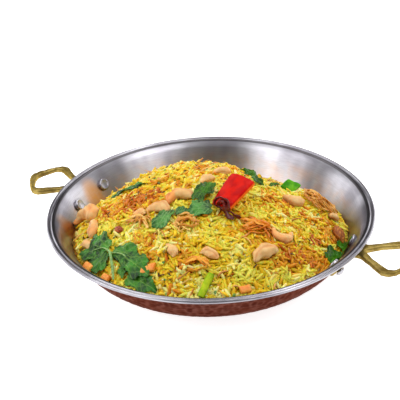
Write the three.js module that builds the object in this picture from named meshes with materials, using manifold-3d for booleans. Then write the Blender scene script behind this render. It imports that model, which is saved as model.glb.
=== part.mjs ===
// A heaped vegetable biryani in its two-ply serving pan: a brushed steel bowl with a rolled lip,
// sleeved in hammered copper, with two cast brass grips that are riveted through both walls.
// Millimetres, +Z up. The grips lie along X, and the origin is under the middle of the flat base.
import * as THREE from "three";
import { mergeVertices } from "three/addons/utils/BufferGeometryUtils.js";
import Module from "manifold-3d";

const wasm = await Module();
wasm.setup();

// ---- driving dimensions -------------------------------------------------------------------

const RIM_RADIUS = 140; // the outside of the rolled bead
const RIM_HEIGHT = 46; // the top of the bead above the table
const BASE_RADIUS = 69; // the flat that the pan stands on
const WALL_TOP = { radius: 131, height: 40 }; // the copper's upper edge
const WALL_BELLY = { radius: 115.8, height: 18.5 }; // pulls the wall out into its round belly
const BASE_PULL = 114.5; // how far the flat of the base is carried into the curve
const COPPER = 0.8; // sheet thickness
const STEEL = 0.9;
const CLEARANCE = 0.3; // left between two sheets or two pieces that touch
const FACET_GAP = 1.9; // kept to the bowl's inner face, whose facets cut the corners of its curve
const LIP_INNER_RADIUS = 134.3; // where the flat band of the lip starts
const LIP_BAND_HEIGHT = 45.1;
const BEAD_RADIUS = 1.7;
const PAN_SIDES = 40;
const WALL_STEPS = 5; // facets up the wall

const RIVET_SPREAD = 21; // each side of the grip's middle
const RIVET_HEIGHT = 31;
const RIVET_HEAD_RADIUS = 5.4;
const RIVET_SHANK_RADIUS = 2.5;
const RIVET_SIDES = 8;

const GRIP_HEIGHT = 37.6; // the middle of the grip's thickness
const GRIP_THICKNESS = 4.4;
const GRIP_ROOT = 131.6; // from the pan's axis
const GRIP_CORNER = { out: 163, half: 25.8 };
const GRIP_TIP = 186.5;
const GRIP_BAR = 6.2; // width of the bar, seen from above
const GRIP_NOTCHES = [18.5, 11.5, 4.5]; // from the middle of the front edge
const NOTCH_DEPTH = 1.5;
const GRIP_EDGE = 0.6; // the softened edge all round
const FOOT_HALF_WIDTH = 29;
const FOOT_HALF_HEIGHT = 7.5;
const FOOT_THICKNESS = 3;

const HEAP_PEAK = { x: 2, y: -11.5, height: 74.5 };
const HEAP_FALL = 37; // drop of the heap 100 mm away from its peak
const HEAP_ROUNDNESS = 2.16;
const HEAP_RINGS = 20; // one to each half grain
const GRAIN_LENGTH = 11.5;
const GRAIN_WIDTH = 4.4; // a grain and the dip beside it
const GRAIN_RELIEF = 1.7;
const GRAIN_COUNT = 720;

// Places where the heap was spooned higher or fell in.
const SWELLS = [
  { x: -58, y: 40, rise: 2, spread: 24 },
  { x: 12, y: 78, rise: -6, spread: 26 },
  { x: -108, y: 10, rise: -4, spread: 22 },
  { x: 48, y: 52, rise: 2, spread: 20 },
  { x: 86, y: 45, rise: 8, spread: 21 },
  { x: 30, y: 57, rise: -11, spread: 26 },
];

// ---- colours ------------------------------------------------------------------------------

const finish = (color, roughness, metalness) =>
  new THREE.MeshStandardMaterial({ color, roughness, metalness });
const steelFinish = () => finish(0xaba6ab, 0.35, 1);
const copperFinish = () => finish(0x7a4038, 0.45, 1);
const brassFinish = () => finish(0xaa9b69, 0.45, 1);
const riceFinish = () => finish(0xdcc553, 0.6, 0);
const cashewFinish = () => finish(0xe8b07a, 0.5, 0);
const leafFinish = () => finish(0x2f7a35, 0.5, 0);

// ---- helpers ------------------------------------------------------------------------------

const radians = THREE.MathUtils.degToRad;

// A repeatable run of numbers from 0 to 1.
const dice = (seed) => () => {
  seed = (seed * 1664525 + 1013904223) % 4294967296;
  return seed / 4294967296;
};

function solidOf(geometry) {
  const bare = geometry.clone();
  bare.deleteAttribute("normal");
  bare.deleteAttribute("uv");
  const merged = mergeVertices(bare, 1e-4);
  return new wasm.Manifold(
    new wasm.Mesh({
      numProp: 3,
      vertProperties: merged.attributes.position.array,
      triVerts: new Uint32Array(merged.index.array),
    }),
  );
}

function geometryOf(solid) {
  const mesh = solid.getMesh();
  const geometry = new THREE.BufferGeometry();
  geometry.setAttribute("position", new THREE.BufferAttribute(mesh.vertProperties, 3));
  geometry.setIndex(new THREE.BufferAttribute(mesh.triVerts, 1));
  geometry.computeVertexNormals();
  return geometry;
}

// Of what a cut leaves, the largest piece.
function largestOf(solid) {
  const pieces = solid.decompose();
  return pieces.reduce((best, piece) => (piece.volume() > best.volume() ? piece : best));
}

// A geometry from points and the triangles between them.
function facets(points, triangles) {
  const geometry = new THREE.BufferGeometry();
  const flat = points.flatMap((point) => [point.x, point.y, point.z]);
  geometry.setAttribute("position", new THREE.Float32BufferAttribute(flat, 3));
  geometry.setIndex(triangles.flat());
  return geometry;
}

// A profile of radius and height turned round the Z axis.
function turned(profile, sides) {
  const points = profile.map(([radius, height]) => new THREE.Vector2(radius, height));
  return new THREE.LatheGeometry(points, sides).rotateX(Math.PI / 2);
}

// ---- the pan ------------------------------------------------------------------------------

const wallCurve = new THREE.CubicBezierCurve(
  new THREE.Vector2(BASE_RADIUS, 0),
  new THREE.Vector2(BASE_PULL, 0),
  new THREE.Vector2(WALL_BELLY.radius, WALL_BELLY.height),
  new THREE.Vector2(WALL_TOP.radius, WALL_TOP.height),
);

// The wall's curve moved into the bowl by an offset, from the base's edge to the top.
function wallProfile(offset, steps) {
  return Array.from({ length: steps + 1 }, (_, step) => {
    const at = wallCurve.getPoint(step / steps);
    const along = wallCurve.getTangent(step / steps);
    return [at.x - along.y * offset, at.y + along.x * offset];
  });
}

const FINE_WALL = wallProfile(COPPER + CLEARANCE + STEEL, 80);

// Height of the steel's inner face at a radius.
function bowlHeight(radius) {
  const beyond = FINE_WALL.findIndex(([r]) => r > radius);
  if (beyond === 0) return FINE_WALL[0][1];
  if (beyond < 0) return FINE_WALL[80][1] + (radius - FINE_WALL[80][0]) * 0.8;
  const [r0, z0] = FINE_WALL[beyond - 1];
  const [r1, z1] = FINE_WALL[beyond];
  return z0 + ((z1 - z0) * (radius - r0)) / (r1 - r0);
}

// Radius of the copper's outer face at a height.
function wallRadius(height) {
  const outer = wallProfile(0, 60);
  const beyond = outer.findIndex(([, z]) => z > height);
  if (beyond < 0) return WALL_TOP.radius;
  const [r0, z0] = outer[beyond - 1];
  const [r1, z1] = outer[beyond];
  return r0 + ((r1 - r0) * (height - z0)) / (z1 - z0);
}

function copperSleeve() {
  const outside = wallProfile(0, WALL_STEPS);
  const inside = wallProfile(COPPER, WALL_STEPS).reverse();
  return turned([[0, 0], ...outside, ...inside, [0, COPPER]], PAN_SIDES);
}

// The steel bowl runs up the wall, flares into a flat band, and ends in a rolled bead.
function steelBowl() {
  const outside = wallProfile(COPPER + CLEARANCE, WALL_STEPS);
  const inside = wallProfile(COPPER + CLEARANCE + STEEL, WALL_STEPS).reverse();
  const beadCentre = RIM_RADIUS - BEAD_RADIUS;
  const beadHeight = RIM_HEIGHT - BEAD_RADIUS;
  const bead = [-105, -35, 35, 105].map((angle) => [
    beadCentre + BEAD_RADIUS * Math.cos(radians(angle)),
    beadHeight + BEAD_RADIUS * Math.sin(radians(angle)),
  ]);
  const under = [LIP_INNER_RADIUS + 0.5, LIP_BAND_HEIGHT - STEEL];
  const over = [LIP_INNER_RADIUS, LIP_BAND_HEIGHT];
  const floor = COPPER + CLEARANCE;
  return turned([[0, floor], ...outside, under, ...bead, over, ...inside, [0, floor + STEEL]], PAN_SIDES);
}

// ---- rivets -------------------------------------------------------------------------------

const RIVETS = [
  { name: "rivet_right_front", side: 1, spread: -1 },
  { name: "rivet_right_back", side: 1, spread: 1 },
  { name: "rivet_left_front", side: -1, spread: -1 },
  { name: "rivet_left_back", side: -1, spread: 1 },
];

// Moves a piece whose axis is Z, outward, onto the wall where a rivet goes through it.
function atRivet(geometry, { side, spread }) {
  const radius = wallRadius(RIVET_HEIGHT);
  const lean = Math.atan2(wallRadius(RIVET_HEIGHT + 3) - wallRadius(RIVET_HEIGHT - 3), 6);
  const angle = Math.atan2(spread * RIVET_SPREAD, side * Math.sqrt(radius ** 2 - RIVET_SPREAD ** 2));
  return geometry
    .rotateY(Math.PI / 2 + lean)
    .translate(radius, 0, RIVET_HEIGHT)
    .rotateZ(angle);
}

// A flat, faintly dished head inside, a shank through both walls and the foot, a button outside.
function rivetShape(rivet) {
  const inner = -(COPPER + CLEARANCE + STEEL + FACET_GAP);
  const outer = CLEARANCE + FOOT_THICKNESS + CLEARANCE + 0.2;
  const profile = [
    [0, inner - 1.2],
    [RIVET_HEAD_RADIUS - 1.6, inner - 1.2],
    [RIVET_HEAD_RADIUS - 1, inner - 1.8],
    [RIVET_HEAD_RADIUS, inner - 1],
    [RIVET_HEAD_RADIUS, inner],
    [RIVET_SHANK_RADIUS, inner],
    [RIVET_SHANK_RADIUS, outer],
    [RIVET_HEAD_RADIUS - 1.4, outer],
    [RIVET_HEAD_RADIUS - 1.4, outer + 2],
    [0, outer + 3],
  ];
  return atRivet(turned(profile, RIVET_SIDES), rivet);
}

const rivetHole = (rivet) =>
  solidOf(
    atRivet(
      new THREE.CylinderGeometry(
        RIVET_SHANK_RADIUS + CLEARANCE,
        RIVET_SHANK_RADIUS + CLEARANCE,
        30,
        RIVET_SIDES,
      ).rotateX(Math.PI / 2),
      rivet,
    ),
  );

// ---- grips --------------------------------------------------------------------------------

// Where the front edge of the loop lies, a given way from its middle.
const archAt = (aside) =>
  GRIP_TIP - (GRIP_TIP - GRIP_CORNER.out - 6) * (Math.abs(aside) / GRIP_CORNER.half) ** 1.35;

// Half of a symmetric outline becomes the whole: the points are mirrored and taken back.
function mirrored(half) {
  const back = half.map(([x, y]) => [x, -y]).reverse();
  return [...half, ...back].filter(([x, y], i, all) => !i || x !== all[i - 1][0] || y !== all[i - 1][1]);
}

// The loop seen from above: two splayed legs, square corners, and a bowed front whose edge has
// shallow notches. The finger hole is narrow at the root and as wide as the corners allow.
function gripOutline() {
  const { out, half } = GRIP_CORNER;
  const edge = [
    [GRIP_ROOT, -8.5],
    [GRIP_ROOT + 8, -9.5],
    [GRIP_ROOT + 18, -16],
    [out - 1, -half],
    [out + 5.5, -half + 0.5],
  ];
  for (const notch of GRIP_NOTCHES)
    for (const [aside, depth] of [[notch + 1.6, 0], [notch, NOTCH_DEPTH], [notch - 1.2, 0.1]])
      edge.push([archAt(aside) - depth, -aside]);
  const inner = [
    [GRIP_ROOT + 8, 0],
    [GRIP_ROOT + 18, -16 + GRIP_BAR],
    [out + 3, -half + GRIP_BAR],
    [out + 8, -half + GRIP_BAR + 1.5],
    [GRIP_TIP - GRIP_BAR - 3, -6],
    [GRIP_TIP - GRIP_BAR - 1.5, 0],
  ];
  const shape = new THREE.Shape(mirrored(edge).map(([x, y]) => new THREE.Vector2(x, y)));
  const hole = mirrored(inner).slice(0, -1);
  shape.holes.push(new THREE.Path(hole.map(([x, y]) => new THREE.Vector2(x, y))));
  return shape;
}

// A closed plate between two like faces of small quads. spot(layer, column, row) gives a point,
// layer 1 being the face that the plate shows when its columns run right and its rows run up.
function plate(columns, rows, spot) {
  const points = [];
  for (const layer of [0, 1])
    for (let column = 0; column <= columns; column += 1)
      for (let row = 0; row <= rows; row += 1) points.push(spot(layer, column, row));
  const at = (layer, column, row) => (layer * (columns + 1) + column) * (rows + 1) + row;
  const triangles = [];
  const quad = (a, b, c, d) => triangles.push([a, b, c], [a, c, d]);
  for (let c = 0; c < columns; c += 1)
    for (let r = 0; r < rows; r += 1) {
      quad(at(1, c, r), at(1, c + 1, r), at(1, c + 1, r + 1), at(1, c, r + 1));
      quad(at(0, c, r), at(0, c, r + 1), at(0, c + 1, r + 1), at(0, c + 1, r));
    }
  for (let c = 0; c < columns; c += 1) {
    quad(at(0, c, 0), at(0, c + 1, 0), at(1, c + 1, 0), at(1, c, 0));
    quad(at(0, c, rows), at(1, c, rows), at(1, c + 1, rows), at(0, c + 1, rows));
  }
  for (let r = 0; r < rows; r += 1) {
    quad(at(0, 0, r), at(1, 0, r), at(1, 0, r + 1), at(0, 0, r + 1));
    quad(at(0, columns, r), at(0, columns, r + 1), at(1, columns, r + 1), at(1, columns, r));
  }
  return facets(points, triangles);
}

// The foot is a curved plate with round ends that lies on the copper.
function footPlate() {
  const columns = 7;
  const rows = 2;
  return plate(columns, rows, (layer, column, row) => {
    const across = (2 * column) / columns - 1;
    const half = FOOT_HALF_HEIGHT * Math.sqrt(1 - 0.75 * Math.abs(across) ** 8);
    const height = RIVET_HEIGHT + half * ((2 * row) / rows - 1);
    const radius = wallRadius(height) + CLEARANCE + 0.15 + layer * FOOT_THICKNESS;
    const angle = (across * FOOT_HALF_WIDTH) / radius;
    return new THREE.Vector3(radius * Math.cos(angle), radius * Math.sin(angle), height);
  });
}

function gripShape(side) {
  const loop = new THREE.ExtrudeGeometry(gripOutline(), {
    depth: GRIP_THICKNESS - 2 * GRIP_EDGE,
    bevelThickness: GRIP_EDGE,
    bevelSize: GRIP_EDGE,
    bevelOffset: -GRIP_EDGE,
    bevelSegments: 1,
  }).translate(0, 0, GRIP_HEIGHT + GRIP_EDGE - GRIP_THICKNESS / 2);
  let grip = solidOf(loop).add(solidOf(footPlate()));
  for (const rivet of RIVETS.slice(0, 2)) grip = grip.subtract(rivetHole(rivet));
  const geometry = geometryOf(largestOf(grip));
  return side > 0 ? geometry : geometry.rotateZ(Math.PI);
}

// ---- the rice -----------------------------------------------------------------------------

// Height of the heap without its grains.
function heapHeight(x, y) {
  const away = Math.hypot(x - HEAP_PEAK.x, y - HEAP_PEAK.y) / 100;
  let height = HEAP_PEAK.height - HEAP_FALL * away ** HEAP_ROUNDNESS;
  for (const swell of SWELLS)
    height +=
      swell.rise * Math.exp(-((x - swell.x) ** 2 + (y - swell.y) ** 2) / swell.spread ** 2);
  return height;
}

const GRAINS = (() => {
  const roll = dice(7);
  return Array.from({ length: GRAIN_COUNT }, () => {
    const away = 124 * Math.sqrt(roll());
    const angle = 2 * Math.PI * roll();
    return {
      x: away * Math.cos(angle),
      y: away * Math.sin(angle),
      turn: Math.PI * roll(),
      rise: GRAIN_RELIEF * (0.55 + 0.45 * roll()),
    };
  });
})();

// How far the grains stand out of the heap at a place.
function grainRelief(x, y) {
  let relief = 0;
  for (const grain of GRAINS) {
    const dx = x - grain.x;
    const dy = y - grain.y;
    if (Math.abs(dx) > GRAIN_LENGTH || Math.abs(dy) > GRAIN_LENGTH) continue;
    const along = (dx * Math.cos(grain.turn) + dy * Math.sin(grain.turn)) / (GRAIN_LENGTH / 2);
    const across = (dy * Math.cos(grain.turn) - dx * Math.sin(grain.turn)) / (GRAIN_WIDTH / 2);
    relief = Math.max(relief, grain.rise * (1 - along ** 2 - across ** 2));
  }
  return relief;
}

// Radius at which the heap meets the bowl, in a direction.
function heapEdge(angle) {
  let low = 90;
  let high = 131;
  for (let step = 0; step < 24; step += 1) {
    const middle = (low + high) / 2;
    const above =
      heapHeight(middle * Math.cos(angle), middle * Math.sin(angle)) > bowlHeight(middle) + FACET_GAP;
    if (above) low = middle;
    else high = middle;
  }
  return low;
}

// Triangles between a ring of points and the next one out, which may have more points.
function ringBand(inner, innerCount, outer, outerCount, triangles, flip) {
  let a = 0;
  let b = 0;
  while (a < innerCount || b < outerCount) {
    const stepOuter = b < outerCount && (a >= innerCount || (b + 1) * innerCount <= (a + 1) * outerCount);
    const here = inner + (a % innerCount);
    const there = outer + (b % outerCount);
    const next = stepOuter ? outer + ((b + 1) % outerCount) : inner + ((a + 1) % innerCount);
    triangles.push(flip ? [here, next, there] : [here, there, next]);
    if (stepOuter) b += 1;
    else a += 1;
  }
}

// The heap as a closed solid in the bowl. surface gives its height at a place, with the share of
// the way out to the heap's edge.
function heapSolid(rings, surface) {
  const points = [new THREE.Vector3(0, 0, surface(0, 0, 0))];
  const triangles = [];
  let outer = { start: 0, count: 1 };
  const addRing = (count, share, twist, height) => {
    const start = points.length;
    for (let step = 0; step < count; step += 1) {
      const angle = (2 * Math.PI * (step + twist)) / count;
      const reach = heapEdge(angle) * share;
      const [x, y] = [reach * Math.cos(angle), reach * Math.sin(angle)];
      points.push(new THREE.Vector3(x, y, height(x, y, share)));
    }
    return { start, count };
  };
  for (let ring = 1; ring <= rings; ring += 1) {
    const next = addRing(6 * ring, ring / rings, 0.5 * (ring % 2), surface);
    ringBand(outer.start, outer.count, next.start, next.count, triangles, false);
    outer = next;
  }
  const floor = (x, y) => bowlHeight(Math.hypot(x, y)) + FACET_GAP;
  for (const share of [0.88, 0.7, 0.5]) {
    const next = addRing(Math.round(2 * rings * share), share, 0, floor);
    ringBand(next.start, next.count, outer.start, outer.count, triangles, true);
    outer = next;
  }
  points.push(new THREE.Vector3(0, 0, floor(0, 0)));
  ringBand(points.length - 1, 1, outer.start, outer.count, triangles, true);
  return solidOf(facets(points, triangles));
}

const rice = heapSolid(HEAP_RINGS, (x, y, share) => {
  if (share === 1) return bowlHeight(Math.hypot(x, y)) + FACET_GAP;
  const fade = Math.min(1, ((1 - share) * HEAP_RINGS) / 2);
  return heapHeight(x, y) + grainRelief(x, y) * fade;
});

// The bed that toppings lie on: a smooth skin over the tops of the grains.
const riceBed = heapSolid(12, (x, y) => heapHeight(x, y) + GRAIN_RELIEF + CLEARANCE).add(
  rice.translate(0, 0, CLEARANCE + 0.05),
);

// ---- laying pieces on the heap ------------------------------------------------------------

// Places a piece, whose up is Z, on the heap's slope. lift is how high its middle stands.
function lay(geometry, { x, y, turn, lift }) {
  const step = 4;
  const slopeX = (heapHeight(x + step, y) - heapHeight(x - step, y)) / (2 * step);
  const slopeY = (heapHeight(x, y + step) - heapHeight(x, y - step)) / (2 * step);
  const up = new THREE.Vector3(-slopeX, -slopeY, 1).normalize();
  const settle = new THREE.Quaternion().setFromUnitVectors(new THREE.Vector3(0, 0, 1), up);
  const own = new THREE.Quaternion().setFromAxisAngle(new THREE.Vector3(0, 0, 1), radians(turn));
  const at = new THREE.Vector3(x, y, heapHeight(x, y)).addScaledVector(up, lift);
  const whole = new THREE.Matrix4().compose(at, settle.multiply(own), new THREE.Vector3(1, 1, 1));
  return geometry.applyMatrix4(whole);
}

// What lies outside the bowl's inner face, with a little clearance.
const bowlMould = (() => {
  const inside = wallProfile(COPPER + CLEARANCE + STEEL + 0.6, WALL_STEPS);
  const [radius, height] = inside[WALL_STEPS];
  const outside = [[0, -5], [160, -5], [160, height], [radius, height]];
  return solidOf(turned([...outside, ...inside.reverse(), [0, 2.6]], PAN_SIDES));
})();

// A piece with its underside cut away where it sinks into the rice or meets the bowl.
const bedded = (solid) => largestOf(solid.subtract(riceBed).subtract(bowlMould));

// A closed tube of rings of points: each ring is a list of points, and the ends close on a point.
function ringedSolid(rings, start, end) {
  const sides = rings[0].length;
  const points = [start, ...rings.flat(), end];
  const triangles = [];
  const at = (ring, side) => 1 + ring * sides + (side % sides);
  for (let side = 0; side < sides; side += 1) {
    triangles.push([0, at(0, side + 1), at(0, side)]);
    triangles.push([points.length - 1, at(rings.length - 1, side), at(rings.length - 1, side + 1)]);
    for (let ring = 0; ring + 1 < rings.length; ring += 1) {
      triangles.push([at(ring, side), at(ring, side + 1), at(ring + 1, side + 1)]);
      triangles.push([at(ring, side), at(ring + 1, side + 1), at(ring + 1, side)]);
    }
  }
  return facets(points, triangles);
}

// ---- cashews ------------------------------------------------------------------------------

// A kidney-shaped nut: a fat curved body, one end blunter than the other. bulge is +1 or -1.
function cashewShape({ length, bulge = 1, bend = 125, flat = 1 }) {
  const sides = 7;
  const stations = 5;
  const arc = radians(bend);
  const bow = length / (2 * Math.sin(arc / 2) + 0.55);
  const fat = length * 0.225;
  const spine = (share) => {
    const angle = (share - 0.5) * arc;
    return new THREE.Vector3(bow * Math.sin(angle), bulge * bow * (Math.cos(angle) - 0.72), 0);
  };
  const rings = [];
  for (let station = 0; station < stations; station += 1) {
    const share = (station + 0.5) / stations;
    const centre = spine(share);
    const angle = (share - 0.5) * arc;
    const along = new THREE.Vector3(Math.cos(angle), -bulge * Math.sin(angle), 0);
    const aside = new THREE.Vector3(-along.y, along.x, 0);
    const thick = fat * Math.sin(Math.PI * share) ** 0.42 * (0.88 + 0.3 * share);
    rings.push(
      Array.from({ length: sides }, (_, side) => {
        const turn = (2 * Math.PI * side) / sides;
        return centre
          .clone()
          .addScaledVector(aside, thick * Math.cos(turn))
          .add(new THREE.Vector3(0, 0, thick * 0.92 * flat * Math.sin(turn)));
      }),
    );
  }
  const reach = fat * 0.25;
  const tipA = spine(0);
  const tipB = spine(1);
  tipA.x -= reach;
  tipB.x += reach;
  return ringedSolid(rings, tipA, tipB);
}

const CASHEWS = [
  { name: "cashew_01", x: -98, y: -39, turn: -10, length: 33, bend: 120, lift: 4 },
  { name: "cashew_02", x: -77, y: -67, turn: -66, length: 24, bend: 90, lift: 3 },
  { name: "cashew_03", x: -75, y: -82, turn: -24, length: 20, bend: 80, lift: 2, flat: 0.7 },
  { name: "cashew_04", x: -9, y: -36, turn: 36, length: 23, bend: 110, lift: 2.6 },
  { name: "cashew_05", x: -20, y: -51, turn: 10, length: 23, bend: 95, lift: 2.4 },
  { name: "cashew_06", x: -33, y: -60, turn: 4, length: 15, bend: 70, lift: 1.8, flat: 0.7 },
  { name: "cashew_07", x: 2, y: -6, turn: 62, length: 18, bend: 80, lift: 2.4 },
  { name: "cashew_08", x: 5, y: 15, turn: 40, length: 18, bend: 70, lift: 2.6 },
  { name: "cashew_09", x: 67, y: 21, turn: 33, length: 23, bend: 90, bulge: -1, lift: 3.4 },
  { name: "cashew_10", x: 97, y: 37.5, turn: 50, length: 15, bend: 70, lift: 2.6 },
  { name: "cashew_11", x: 79, y: -29, turn: 30, length: 19, bend: 170, bulge: -1, lift: 2.2 },
  { name: "cashew_12", x: 76, y: -55, turn: 62, length: 28, bend: 90, lift: 3.2 },
  { name: "cashew_13", x: 39, y: -80, turn: 8, length: 20, bend: 70, lift: 2.4, flat: 0.75 },
  { name: "cashew_14", x: 8, y: -88, turn: -42, length: 19, bend: 60, lift: 2, flat: 0.8 },
];

// ---- leaves -------------------------------------------------------------------------------

// A lobed leaf seen from above, its stalk end at -X. Both faces are split alike.
// lobes is how many points the edge has, deep is how far it is cut in, slim narrows the blade.
function leafShape({ length, lobes = 5, deep = 0.22, slim = 0.8, curl = 0.12, around = 12, seed }) {
  const shares = [0.55, 1];
  const roll = dice(seed * 977);
  const tilt = 2 * Math.PI * roll();
  const radius = length / 2;
  const surface = (share, step) => {
    const angle = (2 * Math.PI * step) / around;
    const edge = 1 - deep * (0.5 - 0.5 * Math.cos(lobes * (angle - Math.PI))) * share;
    const x = radius * share * edge * Math.cos(angle);
    const y = radius * share * edge * slim * Math.sin(angle);
    const wave = 0.06 * radius * Math.sin(lobes * angle + tilt) * share;
    return new THREE.Vector3(x, y, (curl * (y * y - 0.35 * x * x)) / radius + wave);
  };
  const thick = new THREE.Vector3(0, 0, 0.9);
  const points = [];
  for (const layer of [0, 1])
    for (const share of [0, ...shares])
      for (let step = 0; step < (share ? around : 1); step += 1)
        points.push(surface(share, step).addScaledVector(thick, layer));
  const each = 1 + shares.length * around;
  const triangles = [];
  const mid = 1;
  const rim = 1 + around;
  for (let step = 0; step < around; step += 1) {
    const next = (step + 1) % around;
    const face = [
      [0, mid + step, mid + next],
      [mid + step, rim + step, rim + next],
      [mid + step, rim + next, mid + next],
    ];
    for (const [a, b, c] of face) triangles.push([a + each, b + each, c + each], [a, c, b]);
    triangles.push([rim + step, rim + next, rim + next + each]);
    triangles.push([rim + step, rim + next + each, rim + step + each]);
  }
  return facets(points, triangles);
}

// Lets a flat piece follow the heap: its own relief is kept, and it hangs over the heap's slope.
function drape(geometry, { x, y, turn, lift }) {
  const placed = geometry.rotateZ(radians(turn)).translate(x, y, 0);
  const spot = placed.attributes.position;
  for (let index = 0; index < spot.count; index += 1) {
    const [px, py] = [spot.getX(index), spot.getY(index)];
    const ground = Math.max(heapHeight(px, py), bowlHeight(Math.hypot(px, py)));
    spot.setZ(index, spot.getZ(index) + ground + lift);
  }
  return placed;
}

const LEAVES = [
  { name: "leaf_top_dark", x: 9, y: -27, turn: -92, length: 32, slim: 0.55, lobes: 6, lift: 6.5, seed: 2 },
  { name: "leaf_top_light", x: 15, y: -47, turn: -150, length: 24, slim: 0.8, lobes: 5, lift: 4.6, seed: 3 },
  { name: "leaf_middle", x: -10, y: -63, turn: -95, length: 26, slim: 0.66, lobes: 4, lift: 3.8, seed: 4 },
  {
    ...{ name: "leaf_curled", length: 12, slim: 0.7, curl: 0.5, lobes: 3, seed: 5 },
    ...{ x: 1, y: -53, turn: 30, lift: 3.8 },
  },
  {
    ...{ name: "leaf_thin", length: 34, slim: 0.3, lobes: 3, deep: 0.1, seed: 6 },
    ...{ x: -70, y: -19, turn: 12, lift: 3.6 },
  },
  { name: "leaf_right_upper", x: 116, y: 18, turn: 84, length: 19, slim: 0.66, lobes: 5, lift: 4.6, seed: 7 },
  { name: "leaf_right_lower", x: 116.5, y: -4, turn: 84, length: 25, slim: 0.72, lobes: 5, lift: 4, seed: 8 },
];

// The leaf behind the pepper stands up from the rice with its tip high.
const STANDING_LEAVES = [
  {
    ...{ name: "leaf_back", length: 28, slim: 0.36, curl: 0.25, lobes: 7, seed: 9 },
    ...{ x: 32.4, y: 19.8, z: 74.6, turn: -150, rise: 42, roll: -14 },
  },
  {
    ...{ name: "leaf_back_small", length: 11, slim: 0.6, curl: 0.25, lobes: 4, seed: 10 },
    ...{ x: 44.5, y: 34, z: 62, turn: 25, rise: 10, roll: -10 },
  },
];

// Leaflets of the large sprig, all on one stalk.
const SPRIG = [
  { x: -61, y: -91, turn: 172, length: 34, slim: 0.56, lift: 4.2, seed: 11 },
  { x: -55, y: -85, turn: 148, length: 28, slim: 0.36, lift: 6.4, seed: 12 },
  { x: -28, y: -96, turn: -8, length: 29, slim: 0.48, lift: 4, seed: 13 },
  { x: -13, y: -105, turn: -18, length: 29, slim: 0.56, lift: 5.8, seed: 14 },
  { x: -4, y: -114, turn: -8, length: 32, slim: 0.4, lift: 3.8, seed: 15 },
  { x: -48, y: -103, turn: -102, length: 20, slim: 0.72, lift: 5.2, seed: 16 },
];

const SPRIG_STALK = [
  { x: -66, y: -90, lift: 5 },
  { x: -44, y: -94, lift: 5.6 },
  { x: -28, y: -98, lift: 5 },
  { x: -8, y: -109, lift: 5.4 },
];

const SPRIG_TAIL = [
  { x: -44, y: -94, lift: 5.6 },
  { x: -39, y: -99, lift: 6.6 },
  { x: -33, y: -106, lift: 7.6 },
  { x: -28, y: -113, lift: 8.4 },
];

// A thin round or flat strip along points that ride on the heap.
function strip(route, { width, thickness = width, sides = 4, steps = 4 }) {
  const path = new THREE.CatmullRomCurve3(
    route.map(({ x, y, z, lift }) => new THREE.Vector3(x, y, z ?? heapHeight(x, y) + lift)),
  );
  const section = new THREE.Shape();
  for (let side = 0; side < sides; side += 1) {
    const angle = (2 * Math.PI * (side + 0.5)) / sides;
    const x = (thickness / 2) * Math.cos(angle);
    const y = (width / 2) * Math.sin(angle);
    if (side) section.lineTo(x, y);
    else section.moveTo(x, y);
  }
  section.closePath();
  return new THREE.ExtrudeGeometry(section, { steps, extrudePath: path });
}

function sprigShape() {
  let sprig = solidOf(strip(SPRIG_STALK, { width: 2.4 }));
  sprig = sprig.add(solidOf(strip(SPRIG_TAIL, { width: 1.8 })));
  for (const leaflet of SPRIG)
    sprig = sprig.add(solidOf(drape(leafShape({ ...leaflet, around: 10 }), leaflet)));
  return sprig;
}

// Sets a piece down by itself: rolled about its length, tipped up by rise, then turned.
function stand(geometry, { x, y, z, turn, rise, roll = 0 }) {
  return geometry
    .rotateX(radians(roll))
    .rotateY(radians(-rise))
    .rotateZ(radians(turn))
    .translate(x, y, z);
}

// ---- fried onions -------------------------------------------------------------------------

// Each tangle is a few limp strips that cross over one another on the rice.
const ONIONS = [
  { name: "onion_back", x: 84, y: 43, turn: 4, reach: 17, spread: 13, lift: 4.6, color: 0x9a6420, seed: 22 },
  { name: "onion_right", x: 61.5, y: -37, turn: 36, reach: 14, spread: 7, color: 0xb8701f, seed: 23 },
  { name: "onion_left", x: 10, y: -62, turn: 20, reach: 11, spread: 6, color: 0x9a5a20, seed: 24 },
  { name: "onion_front", x: 35, y: -90, turn: 16, reach: 10, spread: 7, color: 0xc87818, seed: 25 },
  { name: "onion_west", x: -30, y: -68, turn: -10, reach: 12, spread: 6, color: 0xa86428, seed: 26 },
];

// The darkest onion curls up at the end of the red pepper and trails off over the rice.
const DARK_ONION = {
  name: "onion_dark",
  color: 0x5a1c10,
  routes: [
    [
      { x: 30, y: -39, z: 74.5 },
      { x: 25.5, y: -40, z: 77 },
      { x: 27.5, y: -40, z: 82 },
      { x: 33, y: -39.5, z: 84 },
      { x: 38, y: -41, z: 81 },
      { x: 38.5, y: -42, z: 77 },
      { x: 34, y: -42, z: 74.5 },
    ],
    [
      { x: 29, y: -39, z: 75 },
      { x: 39, y: -40, z: 72.5 },
      { x: 49, y: -41, z: 69.5 },
    ],
    [
      { x: 26, y: -38, z: 75 },
      { x: 36, y: -42, z: 73 },
      { x: 44.5, y: -46, z: 70 },
    ],
  ],
};

// The routes of a tangle's strips, which fan out round its middle.
function onionRoutes({ x, y, turn, reach, spread, lift = 3.3, strips = 3, seed }) {
  const roll = dice(seed * 4099);
  return Array.from({ length: strips }, (_, index) => {
    const heading = radians(turn + (roll() - 0.5) * 50);
    const side = (index / (strips - 1) - 0.5) * spread;
    const bow = (roll() - 0.5) * spread;
    return [-1, -0.35, 0.35, 1].map((share) => {
      const along = share * reach * (0.8 + 0.3 * roll());
      const aside = side * (1 - Math.abs(share) * 0.6) + bow * (1 - share * share);
      return {
        x: x + along * Math.cos(heading) - aside * Math.sin(heading),
        y: y + along * Math.sin(heading) + aside * Math.cos(heading),
        lift: lift + 1.2 * roll() + (1 - share * share),
      };
    });
  });
}

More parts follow.
